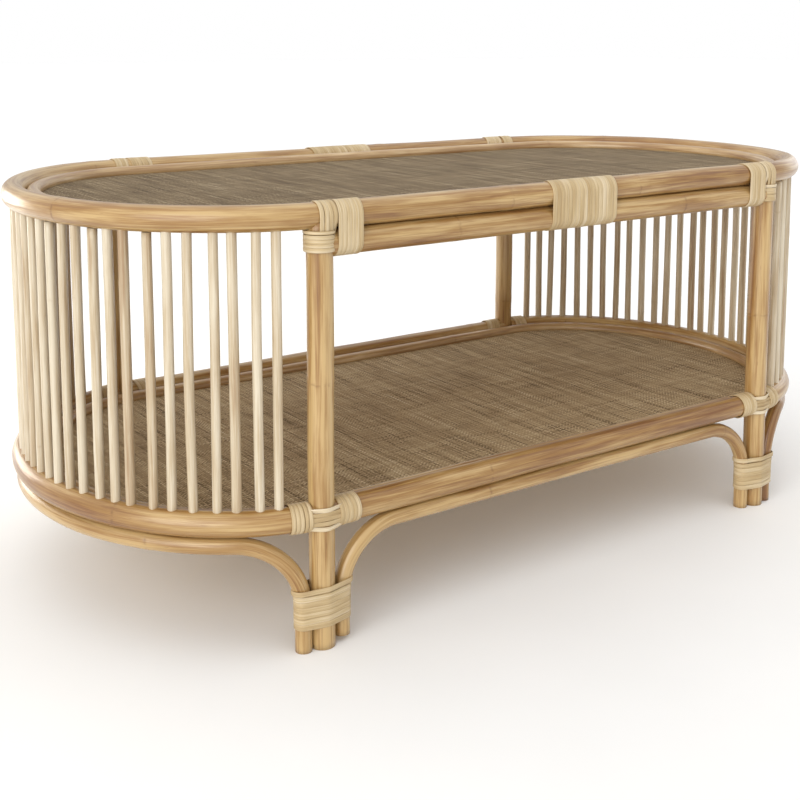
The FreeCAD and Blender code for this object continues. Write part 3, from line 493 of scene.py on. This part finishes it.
def wobble(distance, size, quarter):
    """A gentle random wander along a pole, in two directions. quarter is a quarter of its longest wave."""
    wander = np.zeros((len(distance), 2))
    for octave in (1.0, 2.3, 4.1):
        phase = spread(2, 0, 2 * math.pi)
        rate = octave * 2 * math.pi / (quarter * 4)
        wander += size / octave * np.sin(distance[:, None] * rate + phase)
    return wander


# Rings of points along a pole stand closer together near a node.
NODE_STATIONS = np.array([-14, -9, -6, -4, -2.6, -1.5, -0.7, 0, 0.7, 1.5, 2.6, 4, 6, 9, 14]) * MM
FIRST_NODE = (0.05, 0.3)
NODE_FREE_END = 50 * MM
RING_SPACE = 0.35 * MM
# A node in mm: the lengths over which its lump rises and falls, then its groove and its scar, each by
# how far before the node it lies and how wide it is.
NODE_RISE, NODE_FALL = 4.5, 8.0
GROOVE_BEFORE, GROOVE_WIDE = 0.4, 0.9
SCAR_BEFORE, SCAR_WIDE = 0.3, 1.6
GROOVE_DEPTH = 0.45
# Unevenness: quarters of the longest waves, and how far a section is from round.
BEND_QUARTER = 0.16
GIRTH_QUARTER = 0.11
OUT_OF_ROUND = 0.010
# A closed pole runs true again towards its seam.
LOOP_FADE = 100 * MM
# Each pole and strip takes its grain from its own place in the noise.
PLACE_REACH = 40


def pole(piece, line, radius, sides=32, closed=False, spacing=8 * MM, wander=0.25 * MM, swell=0.35 * MM,
         first_node=None, gap=(0.34, 0.58), uneven=0.012, hold=0.0):
    """A rattan pole along a line: slightly uneven, with swollen nodes gap apart. Both of its ends run true
    over the length hold."""
    source = np.concatenate([line, line[:1]]) if closed else line
    walked = lengths(source)
    whole = walked[-1]
    nodes = []
    spot = spread(None, *FIRST_NODE) if first_node is None else first_node
    while spot < whole - NODE_FREE_END:
        nodes.append(spot)
        spot += spread(None, *gap)
    base = np.linspace(0, whole, max(8, int(whole / spacing)) + 1)
    extra = [node + NODE_STATIONS for node in nodes]
    stops = np.unique(np.round(np.concatenate([base] + extra), 6)) if extra else base
    stops = stops[(stops >= 0) & (stops <= whole)]
    stops = stops[np.concatenate([[True], np.diff(stops) > RING_SPACE])]
    if closed:
        stops = stops[stops < whole - 1 * MM]
    centre = read_off(stops, walked, source)
    side, rise = cross_ways(centre, closed)
    fade = np.ones(len(stops))
    if closed:
        fade = np.minimum(1, np.minimum(stops, whole - stops) / LOOP_FADE)
    elif hold:
        fade = np.clip(np.minimum(stops, whole - stops) / hold, 0, 1)
    move = wobble(stops, wander, BEND_QUARTER) * fade[:, None]
    centre = centre + side * move[:, :1] + rise * move[:, 1:]
    thick = radius * (1 + uneven * wobble(stops, 1.0, GIRTH_QUARTER)[:, 0] * fade * 0.5)
    knot_and_edge_shade = np.zeros(len(stops))
    for node in nodes:
        away = (stops - node) / MM
        lump = np.exp(-(away / np.where(away < 0, NODE_RISE, NODE_FALL)) ** 2)
        groove = np.exp(-((away + GROOVE_BEFORE) / GROOVE_WIDE) ** 2)
        thick = thick + swell * lump - GROOVE_DEPTH * swell * groove
        knot_and_edge_shade = np.maximum(knot_and_edge_shade, np.exp(-((away + SCAR_BEFORE) / SCAR_WIDE) ** 2))
    turn = np.linspace(0, 2 * math.pi, sides, endpoint=False)
    oval = 1 + OUT_OF_ROUND * np.cos(2 * turn[None] + spread(None, 0, 6) + stops[:, None] * 5)
    reach = thick[:, None] * oval
    ring = (np.cos(turn)[None, :, None] * side[:, None] + np.sin(turn)[None, :, None] * rise[:, None])
    rings = centre[:, None] + reach[..., None] * ring
    shift = spread(3, 0, PLACE_REACH)
    place = np.stack([
        np.broadcast_to(stops[:, None], reach.shape) + shift[0],
        radius * np.broadcast_to(np.cos(turn), reach.shape) + shift[1],
        radius * np.broadcast_to(np.sin(turn), reach.shape) + shift[2],
    ], -1)
    piece.sweep(rings, place, spread(None, 0, 1), knot_and_edge_shade[:, None], closed)


# ---------------------------------------------------------------- windings


@functools.lru_cache(maxsize=None)
def hull_loop(circles, count, start_turn):
    """Closed line drawn tight round circles, from a start direction: points and outward ways."""
    turns = start_turn + np.linspace(0, 2 * math.pi, 1441)
    ways = np.stack([np.cos(turns), np.sin(turns)], -1)
    centres = np.array([circle[:2] for circle in circles])
    radii = np.array([circle[2] for circle in circles])
    best = np.argmax(ways @ centres.T + radii, axis=1)
    points = centres[best] + ways * radii[best, None]
    walked = lengths(points)
    line = read_off(np.linspace(0, walked[-1], count + 1), walked, points)[:-1]
    heading = headings(line, closed=True)
    return line, np.stack([heading[:, 1], -heading[:, 0]], -1)


def even_steps(line, ways, count):
    """A line and its outward ways again, at even steps."""
    walked = lengths(line)
    stops = np.linspace(0, walked[-1], count)
    return read_off(stops, walked, line), read_off(stops, walked, ways)


# The cross-section of a strip: a flat oval with full edges, a little flatter below.
STRAP_TURNS = np.linspace(0, 2 * math.pi, 12, endpoint=False)
STRAP_U = np.sign(np.cos(STRAP_TURNS)) * np.abs(np.cos(STRAP_TURNS)) ** 0.65
STRAP_V = np.sign(np.sin(STRAP_TURNS)) * np.abs(np.sin(STRAP_TURNS)) ** 0.80


def strip(piece, centre, out, widths, thick, tones):
    """A flat strip of peel along a line; out is the way that its outer face looks."""
    heading = headings(centre)
    out = unit(out - heading * np.sum(out * heading, 1, keepdims=True))
    across = np.cross(heading, out)
    half = np.broadcast_to(widths, (len(centre),)) / 2
    dome = np.where(STRAP_V > 0, STRAP_V, STRAP_V * 0.9)
    rings = (centre[:, None] + across[:, None] * (half[:, None] * STRAP_U[None])[..., None]
             + out[:, None] * (thick / 2 * dome)[None, :, None])
    walked = lengths(centre)
    shift = spread(3, 0, PLACE_REACH)
    place = np.stack([
        np.broadcast_to(walked[:, None], rings.shape[:2]) + shift[0],
        half[:, None] * STRAP_U[None] + shift[1],
        np.broadcast_to(thick / 2 * dome[None], rings.shape[:2]) + shift[2],
    ], -1)
    # How near each point lies to an edge of the strip: the peel paints shade there.
    edge = np.abs(STRAP_U)[None] ** 3 * np.ones((len(centre), 1))
    tone = np.broadcast_to(np.asarray(tones).reshape(-1, 1), rings.shape[:2])
    piece.sweep(rings, place, tone, edge)


# Part of a turn after which the strip steps over to its next place, and part over which an end dips under.
STEP_OVER = 0.72
END_TUCK = 0.12
END_DIP = 0.8
SLACK = 0.072 * MM
PROUD = 0.14 * MM
TILT_REACH = 20 * MM
UNEVEN_WIDTH = 0.08


def wind(piece, seat, loops, first, pitch, turns, start_turn, width, count=56, tilt=0.0, thick=PEEL_T,
         pale=0.0, raised=0.0):
    """One continuous strip wound round and round. seat(a) gives the origin and the two directions of the
    cross-section at a distance along the axis, and loops(a) the circles inside the winding there. The strip
    steps over to its next place in the last part of each turn, and its two ends are tucked under."""
    total = turns * count
    steps = np.arange(total + 1)
    turn = np.minimum(steps // count, turns - 1)
    part = steps / count - turn
    shift = np.clip((part - STEP_OVER) / (1 - STEP_OVER), 0, 1)
    shift = shift * shift * (3 - 2 * shift)

    def eased(values):
        return values[turn] * (1 - shift) + values[turn + 1] * shift

    level = first + pitch * (turn + shift) + eased(rng.normal(0, SLACK, turns + 1))
    level = level + SLACK * np.sin(2 * math.pi * part * 2 + spread(turns, 0, 6)[turn])
    edges = np.minimum(steps, total - steps) / count
    lift = eased(raised + spread(turns + 1, 0, PROUD)) - END_DIP * thick * np.clip(1 - edges / END_TUCK, 0, 1)
    centre, out = [], []
    for step in steps:
        line, ways = hull_loop(loops(first + pitch * turn[step]), count, start_turn)
        spot, way = line[step % count], ways[step % count]
        proud = spot + way * (thick / 2 + lift[step])
        origin, one, two = seat(level[step] + tilt * spot[0] / TILT_REACH)
        centre.append(origin + one * proud[0] + two * proud[1])
        out.append(one * way[0] + two * way[1])
    tone = eased(spread(turns + 1, 0, 1) + pale)
    widths = width * (1 + UNEVEN_WIDTH * (spread(turns + 1, -1, 1)[turn]))
    strip(piece, np.array(centre), np.array(out), widths, thick, tone)


def along_side(way):
    """Cross-sections along a straight side: outward and up."""
    def seat(a):
        return np.array([a, way * SIDE_Y, 0]), np.array([0, way, 0.0]), np.array([0, 0, 1.0])
    return seat


def round_end(way, side):
    """Cross-sections along a rounded end, by distance from where it starts: outward and up."""
    def seat(a):
        spot, out = end_points(a)
        return (np.array([spot[0] * side, -spot[1] * way, 0]), np.array([out[0] * side, -out[1] * way, 0]),
                np.array([0, 0, 1.0]))
    return seat


def up_post(way, side):
    """Cross-sections up a post: along the table, away from its middle, and outward."""
    def seat(a):
        return np.array([side * POST_X, way * SIDE_Y, a]), np.array([side, 0, 0.0]), np.array([0, way, 0.0])
    return seat


CORNERS = [(depth, side) for depth in ("front", "back") for side in ("left", "right")]
WAYS = {"front": -1, "back": 1}
ENDS = {"left": -1, "right": 1}
PAST = POST_X - END_X
WRAP_GAP = 0.5 * MM
# The radius of a circle that is no more than a point.
POINT = 1e-5
STRAP_SHIFT = 3.9 * MM
STRAP_COUNT = 4
STRAP_PITCH = 4.8 * MM
STRAP_WIDTH = 5.0 * MM
STRAP_FOOT = 4 * MM
COLLAR_HEIGHT = 21.5 * MM
# Windings begin on the inner side, out of sight.
INSIDE_RING = math.pi
INSIDE_POST = -math.pi / 2
CORNER_WRAP = 29 * MM
SHELF_RAIL_WRAP = 25 * MM
SHELF_HOOP_WRAP = 21 * MM
# Height above the shelf poles' line, how far it sags in front of the post, both in mm, and tone.
# The top and bottom strips' high tones, 1.8 and 1.7, paint a highlight on them.
CROSSING_STRIPS = ((9.0, 0.2, 1.8), (4.6, 0.2, -0.4), (0.2, 0.3, 0.0), (-4.2, 0.9, -0.2), (-8.8, 2.1, 1.7))
TOP_PAIR = ((0.0, TOP_Z, POLE_R), (0.0, APRON_Z, APRON_R))


def centre_binding(depth):
    """The wide winding over the joint of the top ring, round ring and apron."""
    piece = Piece()
    lo, hi, _, _ = box(f"centre_binding_{depth}")
    turns = 17
    pitch = (hi[0] - lo[0]) / turns
    wind(piece, along_side(WAYS[depth]), lambda a: TOP_PAIR, first=lo[0] + pitch / 2, pitch=pitch,
         turns=turns, start_turn=INSIDE_RING, width=pitch * 1.06, count=72)
    piece.make(f"centre_winding_{depth}", PEEL, "rattan_peel", f"centre_binding_{depth}")


def ring_strap(piece, seat, offset, collar_top):
    """One strip over the top ring above a post, with both ends down under the collar."""
    inside = math.sqrt(max(POLE_R ** 2 - offset ** 2, 0)) + PEEL_T * 0.3
    circles = ((0.0, TOP_Z, POLE_R + PEEL_T / 2), (-inside, collar_top - STRAP_FOOT, POINT),
               (inside, collar_top - STRAP_FOOT, POINT))
    line, ways = hull_loop(circles, 160, INSIDE_POST)
    over = line[:, 1] > collar_top - 3.9 * MM
    line, ways = line[over], ways[over]
    order = np.argsort(np.arctan2(line[:, 1] - TOP_Z + STRAP_FOOT, line[:, 0]) * -1)
    ends = line[order[[0, -1]], 0]
    low = collar_top - COLLAR_HEIGHT + 3 * MM
    line = np.concatenate([[[ends[0], low]], line[order], [[ends[1], low]]])
    ways = np.concatenate([[[np.sign(ends[0]), 0]], ways[order], [[np.sign(ends[1]), 0]]])
    line, ways = even_steps(line, ways, 60)
    origin, one, two = seat(PAST + offset + rng.normal(0, 0.2 * MM))
    line = line + unit(ways) * spread(None, 0, 0.3 * MM)
    centre = origin + line[:, :1] * one + line[:, 1:] * two
    out = ways[:, :1] * one + ways[:, 1:] * two
    strip(piece, centre, out, STRAP_WIDTH, PEEL_T, [spread(None, 0.2, 0.9)] * len(centre))


def top_corner_binding(depth, side_name):
    """Wrap round ring and apron, straps over the ring, and a collar round the post."""
    way, side = WAYS[depth], ENDS[side_name]
    piece = Piece()
    turns = 6
    pitch = CORNER_WRAP / turns
    near = POST_X - POLE_R - WRAP_GAP
    wind(piece, along_side(way), lambda a: TOP_PAIR, first=side * (near - pitch / 2), pitch=-side * pitch,
         turns=turns, start_turn=INSIDE_RING, width=pitch * 1.07, count=72)
    collar_top = TOP_Z - POLE_R
    for index in range(STRAP_COUNT):
        offset = (index - (STRAP_COUNT - 1) / 2) * STRAP_PITCH - STRAP_SHIFT
        ring_strap(piece, round_end(way, side), offset, collar_top)
    collar = ((0.0, 0.0, POLE_R + PEEL_T * 0.9),)
    wind(piece, up_post(way, side), lambda a: collar, first=collar_top - COLLAR_HEIGHT + 2.4 * MM,
         pitch=4.25 * MM, turns=4, start_turn=INSIDE_POST, width=4.6 * MM, tilt=0.2 * MM, pale=0.1)
    wind(piece, up_post(way, side), lambda a: collar, first=collar_top - 1.7 * MM, pitch=0.0, turns=1,
         start_turn=INSIDE_POST, width=3.6 * MM, tilt=0.2 * MM, pale=0.9, raised=0.3 * MM)
    piece.make(f"top_corner_winding_{depth}_{side_name}", PEEL, "rattan_peel",
               f"top_corner_binding_{depth}_{side_name}")


def crossing_strip(piece, way, side, level, sag, tone):
    """One strip across the front of a post at the shelf, its ends under the two wraps beside the post."""
    inside = math.sqrt(POLE_R ** 2 - level ** 2)
    reach = POLE_R + 4 * MM
    drop = SIDE_Y - SIDE_Y * math.sqrt(1 - ((PAST + reach) / END_REACH) ** 2)
    circles = ((0.0, 0.0, POLE_R + PEEL_T / 2), (-reach, inside + PEEL_T / 2, POINT),
               (reach, inside + PEEL_T / 2 - drop, POINT))
    line, ways = hull_loop(circles, 400, INSIDE_POST)
    front = (line[:, 1] > inside + PEEL_T / 2 - drop - 1e-5) & (np.abs(line[:, 0]) <= reach + 1e-6)
    line, ways = line[front], ways[front]
    order = np.argsort(line[:, 0])
    line, ways = even_steps(line[order], ways[order], 40)
    height = SHELF_Z + level - sag * (1 - (line[:, 0] / reach) ** 2)
    centre = np.column_stack([side * (POST_X + line[:, 0]), way * (SIDE_Y + line[:, 1]), height])
    out = np.column_stack([side * ways[:, 0], way * ways[:, 1], np.zeros(len(ways))])
    strip(piece, centre, out, 4.7 * MM, PEEL_T * 0.8, [tone] * len(centre))


def shelf_binding(depth, side_name):
    """Wraps round the rail and the lower ring beside a post, and the strips that cross between them."""
    way, side = WAYS[depth], ENDS[side_name]
    piece = Piece()
    for level, sag, tone in CROSSING_STRIPS:
        crossing_strip(piece, way, side, level * MM, sag * MM, tone)
    ring = ((0.0, SHELF_Z, POLE_R),)
    turns = 5
    pitch = SHELF_RAIL_WRAP / turns
    near = POST_X - POLE_R - WRAP_GAP
    wind(piece, along_side(way), lambda a: ring, first=side * (near - pitch / 2), pitch=-side * pitch,
         turns=turns, start_turn=INSIDE_RING, width=pitch * 1.05, tilt=0.2 * MM, pale=0.05, raised=0.45 * MM)
    pitch = SHELF_HOOP_WRAP / turns
    past = PAST + POLE_R + WRAP_GAP
    wind(piece, round_end(way, side), lambda a: ring, first=past + pitch / 2, pitch=pitch,
         turns=turns, start_turn=INSIDE_RING, width=pitch * 1.05, tilt=0.2 * MM, pale=0.05, raised=0.45 * MM)
    piece.make(f"shelf_joint_winding_{depth}_{side_name}", PEEL, "rattan_peel",
               f"shelf_joint_binding_{depth}_{side_name}")


def foot_loops(a):
    """The post and the two brace feet, which bend away from it above a certain height."""
    rise = max(0.0, a - (BRACE_Z - BEND_R))
    away = round(BEND_R * (1 - math.sqrt(1 - (rise / BEND_R) ** 2)), 5)
    return (-FOOT_PITCH - away, 0.0, BRACE_R), (0.0, 0.0, POLE_R), (FOOT_PITCH + away, 0.0, BRACE_R)


def foot_binding(depth, side_name):
    """The winding round a foot, with one thicker strip laid over it near its top."""
    seat = up_post(WAYS[depth], ENDS[side_name])
    piece = Piece()
    low = box(f"foot_binding_{depth}_{side_name}")[0][2]
    wind(piece, seat, foot_loops, first=low + 3 * MM, pitch=5.9 * MM, turns=6, start_turn=INSIDE_POST,
         width=6.2 * MM, count=84, tilt=-0.12 * MM)
    wind(piece, seat, foot_loops, first=low + 39.4 * MM, pitch=0.0, turns=1, start_turn=INSIDE_POST,
         width=5.4 * MM, count=84, tilt=-0.5 * MM, thick=PEEL_T * 1.2, raised=0.3 * MM)
    piece.make(f"foot_winding_{depth}_{side_name}", PEEL, "rattan_peel", f"foot_binding_{depth}_{side_name}")


# ---------------------------------------------------------------- woven mats


MAT_TUCK = 3.5 * MM
MAT_THICK = 2 * MM
MAT_SINK = 0.35 * MM
DRIFT_ALONG, DRIFT_ACROSS = 0.35 * MM, 0.30 * MM
OVER_UNDER = 0.20 * MM
STRAND_ROUGH = 0.10 * MM


def rim_of(quads):
    """The outline of a patch of quads: its point numbers in order, anticlockwise from above."""
    starts, ends = quads.ravel().tolist(), np.roll(quads, -1, 1).ravel().tolist()
    backward = set(zip(ends, starts))
    after = {start: end for start, end in zip(starts, ends) if (start, end) not in backward}
    rim = [min(after)]
    while after[rim[-1]] != rim[0]:
        rim.append(after[rim[-1]])
    return np.array(rim)


def woven_mat(name, node, top, material):
    """The mat as one woven sheet with real over and under relief, tucked under the thin hoop."""
    _, hi, _, _ = box(node)
    reach_x, reach_y = END_REACH - (SIDE_Y - hi[1]) + MAT_TUCK, hi[1] + MAT_TUCK
    columns = int(2 * (END_X + reach_x) / WEAVE_PITCH) + 2
    rows = int(2 * reach_y / WEAVE_PITCH) + 2
    u = np.arange(columns) - columns // 2
    v = np.arange(rows) - rows // 2
    count_x, count_y = np.meshgrid(u, v, indexing="ij")
    x = count_x * WEAVE_PITCH
    y = count_y * WEAVE_PITCH
    # The strands drift a little, in slow waves.
    waves_x = DRIFT_ALONG * (np.sin(y * 21 + 1) + np.sin(y * 55 + x * 9))
    waves_y = DRIFT_ACROSS * (np.sin(x * 17 + 2) + np.sin(x * 47 + y * 13))
    sign = 1 - 2 * ((count_x + count_y) % 2)
    relief = OVER_UNDER * sign + STRAND_ROUGH * rng.normal(0, 1, x.shape)
    past = np.maximum(np.abs(x) - END_X, 0) / reach_x
    inside = past ** 2 + (y / reach_y) ** 2 <= 1
    points = np.stack([x + waves_x, y + waves_y, top - MAT_SINK + relief], -1)
    index = np.full(x.shape, -1)
    index[inside] = np.arange(inside.sum())
    corners = np.stack([index[:-1, :-1], index[1:, :-1], index[1:, 1:], index[:-1, 1:]], -1).reshape(-1, 4)
    quads = corners[(corners >= 0).all(1)]
    used = np.unique(quads)
    remap = np.full(index.max() + 1, -1)
    remap[used] = np.arange(len(used))
    quads = remap[quads]
    points = points[inside][used]
    place = np.stack([count_x + 0.5, count_y + 0.5, np.zeros(x.shape)], -1)[inside][used]
    rim = rim_of(quads)
    low = points[rim] * (1, 1, 0) + (0, 0, top - MAT_THICK)
    under = len(points) + np.arange(len(rim))
    skirt = np.stack([np.roll(rim, -1), rim, under, np.roll(under, -1)], -1)
    mesh = bpy.data.meshes.new(name)
    mesh.from_pydata(np.concatenate([points, low]).tolist(), [],
                     quads.tolist() + skirt.tolist() + [under[::-1].tolist()])
    attribute = mesh.attributes.new("place", "FLOAT_VECTOR", "POINT")
    attribute.data.foreach_set("vector", np.concatenate([place, place[rim]]).astype(np.float32).ravel())
    mesh.polygons.foreach_set("use_smooth", [True] * len(mesh.polygons))
    mesh.materials.append(material)
    mesh.update()
    return finish_piece(bpy.data.objects.new(name, mesh), "woven_mat", node)


# ---------------------------------------------------------------- the table

for side_name, side in ENDS.items():
    ring = Piece()
    pole(ring, hoop_half(side, TOP_Z), POLE_R, sides=40, wander=0.3 * MM)
    ring.make(f"top_ring_{side_name}", POLE, "rattan_pole", f"top_hoop_{side_name}")
    low_ring = Piece()
    pole(low_ring, hoop_end(side, SHELF_Z), POLE_R, sides=36, wander=0.3 * MM)
    low_ring.make(f"shelf_ring_{side_name}", POLE, "rattan_pole", f"shelf_end_hoop_{side_name}")
    foot = Piece()
    pole(foot, end_brace(side), BRACE_R, sides=28, spacing=6 * MM, wander=0.25 * MM)
    foot.make(f"end_brace_pole_{side_name}", POLE, "rattan_pole", f"{side_name}_end_brace")

for depth, way in WAYS.items():
    span = np.array([[-POST_X, way * SIDE_Y, APRON_Z], [POST_X, way * SIDE_Y, APRON_Z]])
    down_to_shelf = (0, 0, SHELF_Z - APRON_Z)
    apron = Piece()
    pole(apron, span, APRON_R + 0.35 * MM, sides=36, wander=0.15 * MM, swell=0.2 * MM)
    apron.make(f"apron_pole_{depth}", POLE, "rattan_pole", f"{depth}_apron_rail")
    rail = Piece()
    pole(rail, span + down_to_shelf, POLE_R, sides=36, wander=0.3 * MM)
    rail.make(f"shelf_pole_{depth}", POLE, "rattan_pole", f"shelf_{depth}_rail")
    brace = Piece()
    pole(brace, side_brace(way), BRACE_R, sides=28, spacing=6 * MM, wander=0.25 * MM)
    brace.make(f"side_brace_pole_{depth}", POLE, "rattan_pole", f"{depth}_brace")

POST_TOP = TOP_Z - 0.4 * POLE_R
for depth, side_name in CORNERS:
    x, y = ENDS[side_name] * POST_X, WAYS[depth] * SIDE_Y
    leg = Piece()
    pole(leg, np.array([[x, y, 0], [x, y, POST_TOP]]), POLE_R, sides=36, wander=0.45 * MM,
         gap=(0.22, 0.34), hold=0.05)
    leg.make(f"post_pole_{depth}_{side_name}", POLE, "rattan_pole", f"post_{depth}_{side_name}")

for tier, z in (("top", thin_mid[2]), ("shelf", low_thin_mid[2])):
    hoop = Piece()
    pole(hoop, thin_loop(z), THIN_R, sides=28, closed=True, wander=0.2 * MM)
    hoop.make(f"{tier}_thin_hoop", THIN, "rattan_inner_pole", f"{tier}_inner_hoop")

# Real bars are set by eye: their spacing, lean and bow all vary.
BAR_SPACING_SPREAD = 1.1 * MM
BAR_LEAN_SPREAD = 0.45 * MM
BAR_BOW_SPREAD = 0.6 * MM
BAR_GIRTH = (0.92, 1.0)
low_end = spindle_mid[2] - spindle_half[2]
high_end = spindle_mid[2] + spindle_half[2]
for side_name, side in ENDS.items():
    bars = Piece()
    for step in range(SPINDLE_COUNT):
        even = SPINDLE_MARGIN + (END_LENGTH - 2 * SPINDLE_MARGIN) * step / (SPINDLE_COUNT - 1)
        even += rng.normal(0, BAR_SPACING_SPREAD)
        low_spot, _ = end_points(even)
        high_spot, _ = end_points(even + rng.normal(0, BAR_LEAN_SPREAD))
        rise = np.linspace(0, 1, 25)[:, None]
        bow = np.sin(math.pi * rise) * rng.normal(0, BAR_BOW_SPREAD, 2)
        flat = low_spot * (1 - rise) + high_spot * rise + bow
        line = np.column_stack([flat[:, 0] * side, flat[:, 1], low_end + (high_end - low_end) * rise[:, 0]])
        pole(bars, line, SPINDLE_R * spread(None, *BAR_GIRTH), sides=16, spacing=10 * MM, wander=0.25 * MM,
             swell=0.22 * MM, first_node=spread(None, 0.0, 0.5), gap=(0.16, 0.34), uneven=0.02)
    bars.make(f"{side_name}_upright_bars", SPINDLE, "rattan_spindle", f"{side_name}_spindles")

for depth in WAYS:
    centre_binding(depth)
for depth, side_name in CORNERS:
    top_corner_binding(depth, side_name)
    shelf_binding(depth, side_name)
    foot_binding(depth, side_name)

woven_mat("top_mat", "top_woven_mat", mat_hi[2], TOP_WEAVE)
woven_mat("shelf_mat", "shelf_woven_mat", low_mat_hi[2], SHELF_WEAVE_PAINTED_LIGHT)

# The hidden pieces keep their CAD shape.
HIDDEN = {
    "plywood": sawn_wood("plywood", (0.40, 0.26, 0.13), (0.60, 0.44, 0.25), (14, 160, 60), 0.62, plies=True),
    "sawn_batten": sawn_wood("sawn_batten", (0.36, 0.22, 0.10), (0.55, 0.38, 0.20), (170, 16, 120), 0.6),
    "hardwood_dowel": sawn_wood("turned_dowel", (0.46, 0.32, 0.17), (0.66, 0.50, 0.31), (60, 60, 60), 0.5),
    "steel_fastener": plated_steel("plated_steel"),
}
for entry in frame["record"]["subparts"]:
    if entry["material_slot"] in HIDDEN:
        mesh = frame["nodes"][entry["node"]].data
        mesh.materials.clear()
        mesh.materials.append(HIDDEN[entry["material_slot"]])

# ---------------------------------------------------------------- studio


def look_along(direction):
    """The rotation that makes a light shine in a direction."""
    return Vector(direction).to_track_quat("-Z", "Y")


def hang(name, light, direction, place=(0, 0, 0)):
    """A light in the scene, shining in a direction."""
    lamp = bpy.data.objects.new(name, light)
    lamp.location = place
    lamp.rotation_mode = "QUATERNION"
    lamp.rotation_quaternion = look_along(direction)
    bpy.context.scene.collection.objects.link(lamp)


def soft_light(name, place, aim, size, watts, colour=(1, 1, 1)):
    """A rectangular soft box."""
    light = bpy.data.lights.new(name, "AREA")
    light.shape = "RECTANGLE"
    light.size, light.size_y = size
    light.energy = watts
    light.color = colour
    hang(name, light, np.array(aim, float) - np.array(place, float), place)


FLOOR_REACH = 30.0
FLOOR_DROP = 0.2 * MM
mesh = bpy.data.meshes.new("floor")
mesh.from_pydata([(x * FLOOR_REACH, y * FLOOR_REACH, 0) for x, y in ((-1, -1), (1, -1), (1, 1), (-1, 1))], [],
                 [(0, 1, 2, 3)])
mesh.materials.append(floor_paint("pale_floor"))
floor = bpy.data.objects.new("floor", mesh)
floor.location.z = -FLOOR_DROP
bpy.context.scene.collection.objects.link(floor)

sun = bpy.data.lights.new("key_light", "SUN")
sun.energy = 1.45
sun.angle = math.radians(48)
sun.color = (1.0, 0.985, 0.96)
hang("key_light", sun, (0.80, 0.42, -0.34))
soft_light("back_light", place=(2.6, 0.4, 0.8), aim=(0.4, 0, 0.3), size=(1.4, 1.0), watts=5)
soft_light("low_fill", place=(-2.7, -1.5, 0.45), aim=(0.2, 0, 0.28), size=(1.6, 0.8), watts=7,
           colour=(1.0, 0.96, 0.90))
soft_light("side_fill", place=(-0.9, 1.5, 0.45), aim=(0.48, 0.0, 0.27), size=(0.8, 0.6), watts=9,
           colour=(1.0, 0.93, 0.82))

# A white studio all round, brighter overhead. The camera sees it plain white.
world = bpy.data.worlds.new("studio")
world.use_nodes = True
tree = world.node_tree
around = tree.nodes["Background"]
seen = tree.nodes.new("ShaderNodeBackground")
for background in (around, seen):
    background.inputs["Color"].default_value = (1.0, 1.0, 1.0, 1)
seen.inputs["Strength"].default_value = 1.0
aloft = tree.nodes.new("ShaderNodeSeparateXYZ")
lift = tree.nodes.new("ShaderNodeMapRange")
lift.inputs["From Min"].default_value = 0.1
lift.inputs["To Min"].default_value = 0.60
lift.inputs["To Max"].default_value = 1.25
path = tree.nodes.new("ShaderNodeLightPath")
mixer = tree.nodes.new("ShaderNodeMixShader")
for source, socket in (
        (tree.nodes.new("ShaderNodeTexCoord").outputs["Generated"], aloft.inputs[0]),
        (aloft.outputs[2], lift.inputs["Value"]),
        (lift.outputs[0], around.inputs["Strength"]),
        (path.outputs["Is Camera Ray"], mixer.inputs[0]),
        (around.outputs[0], mixer.inputs[1]),
        (seen.outputs[0], mixer.inputs[2]),
        (mixer.outputs[0], tree.nodes["World Output"].inputs["Surface"])):
    tree.links.new(source, socket)
bpy.context.scene.world = world
bpy.context.scene.view_settings.view_transform = "Standard"

CAMERA_PLACE = (-0.9412, -1.2626, 0.6119)
CAMERA_DOWN = 7.5
CAMERA_HEADING = -35.01
camera = bpy.data.cameras.new("camera")
camera.lens = 54.55
camera.shift_y = -0.25
camera.clip_end = 100
eye = bpy.data.objects.new("camera", camera)
eye.location = CAMERA_PLACE
eye.rotation_euler = (math.radians(90 - CAMERA_DOWN), 0, math.radians(CAMERA_HEADING))
bpy.context.scene.collection.objects.link(eye)
bpy.context.scene.camera = eye
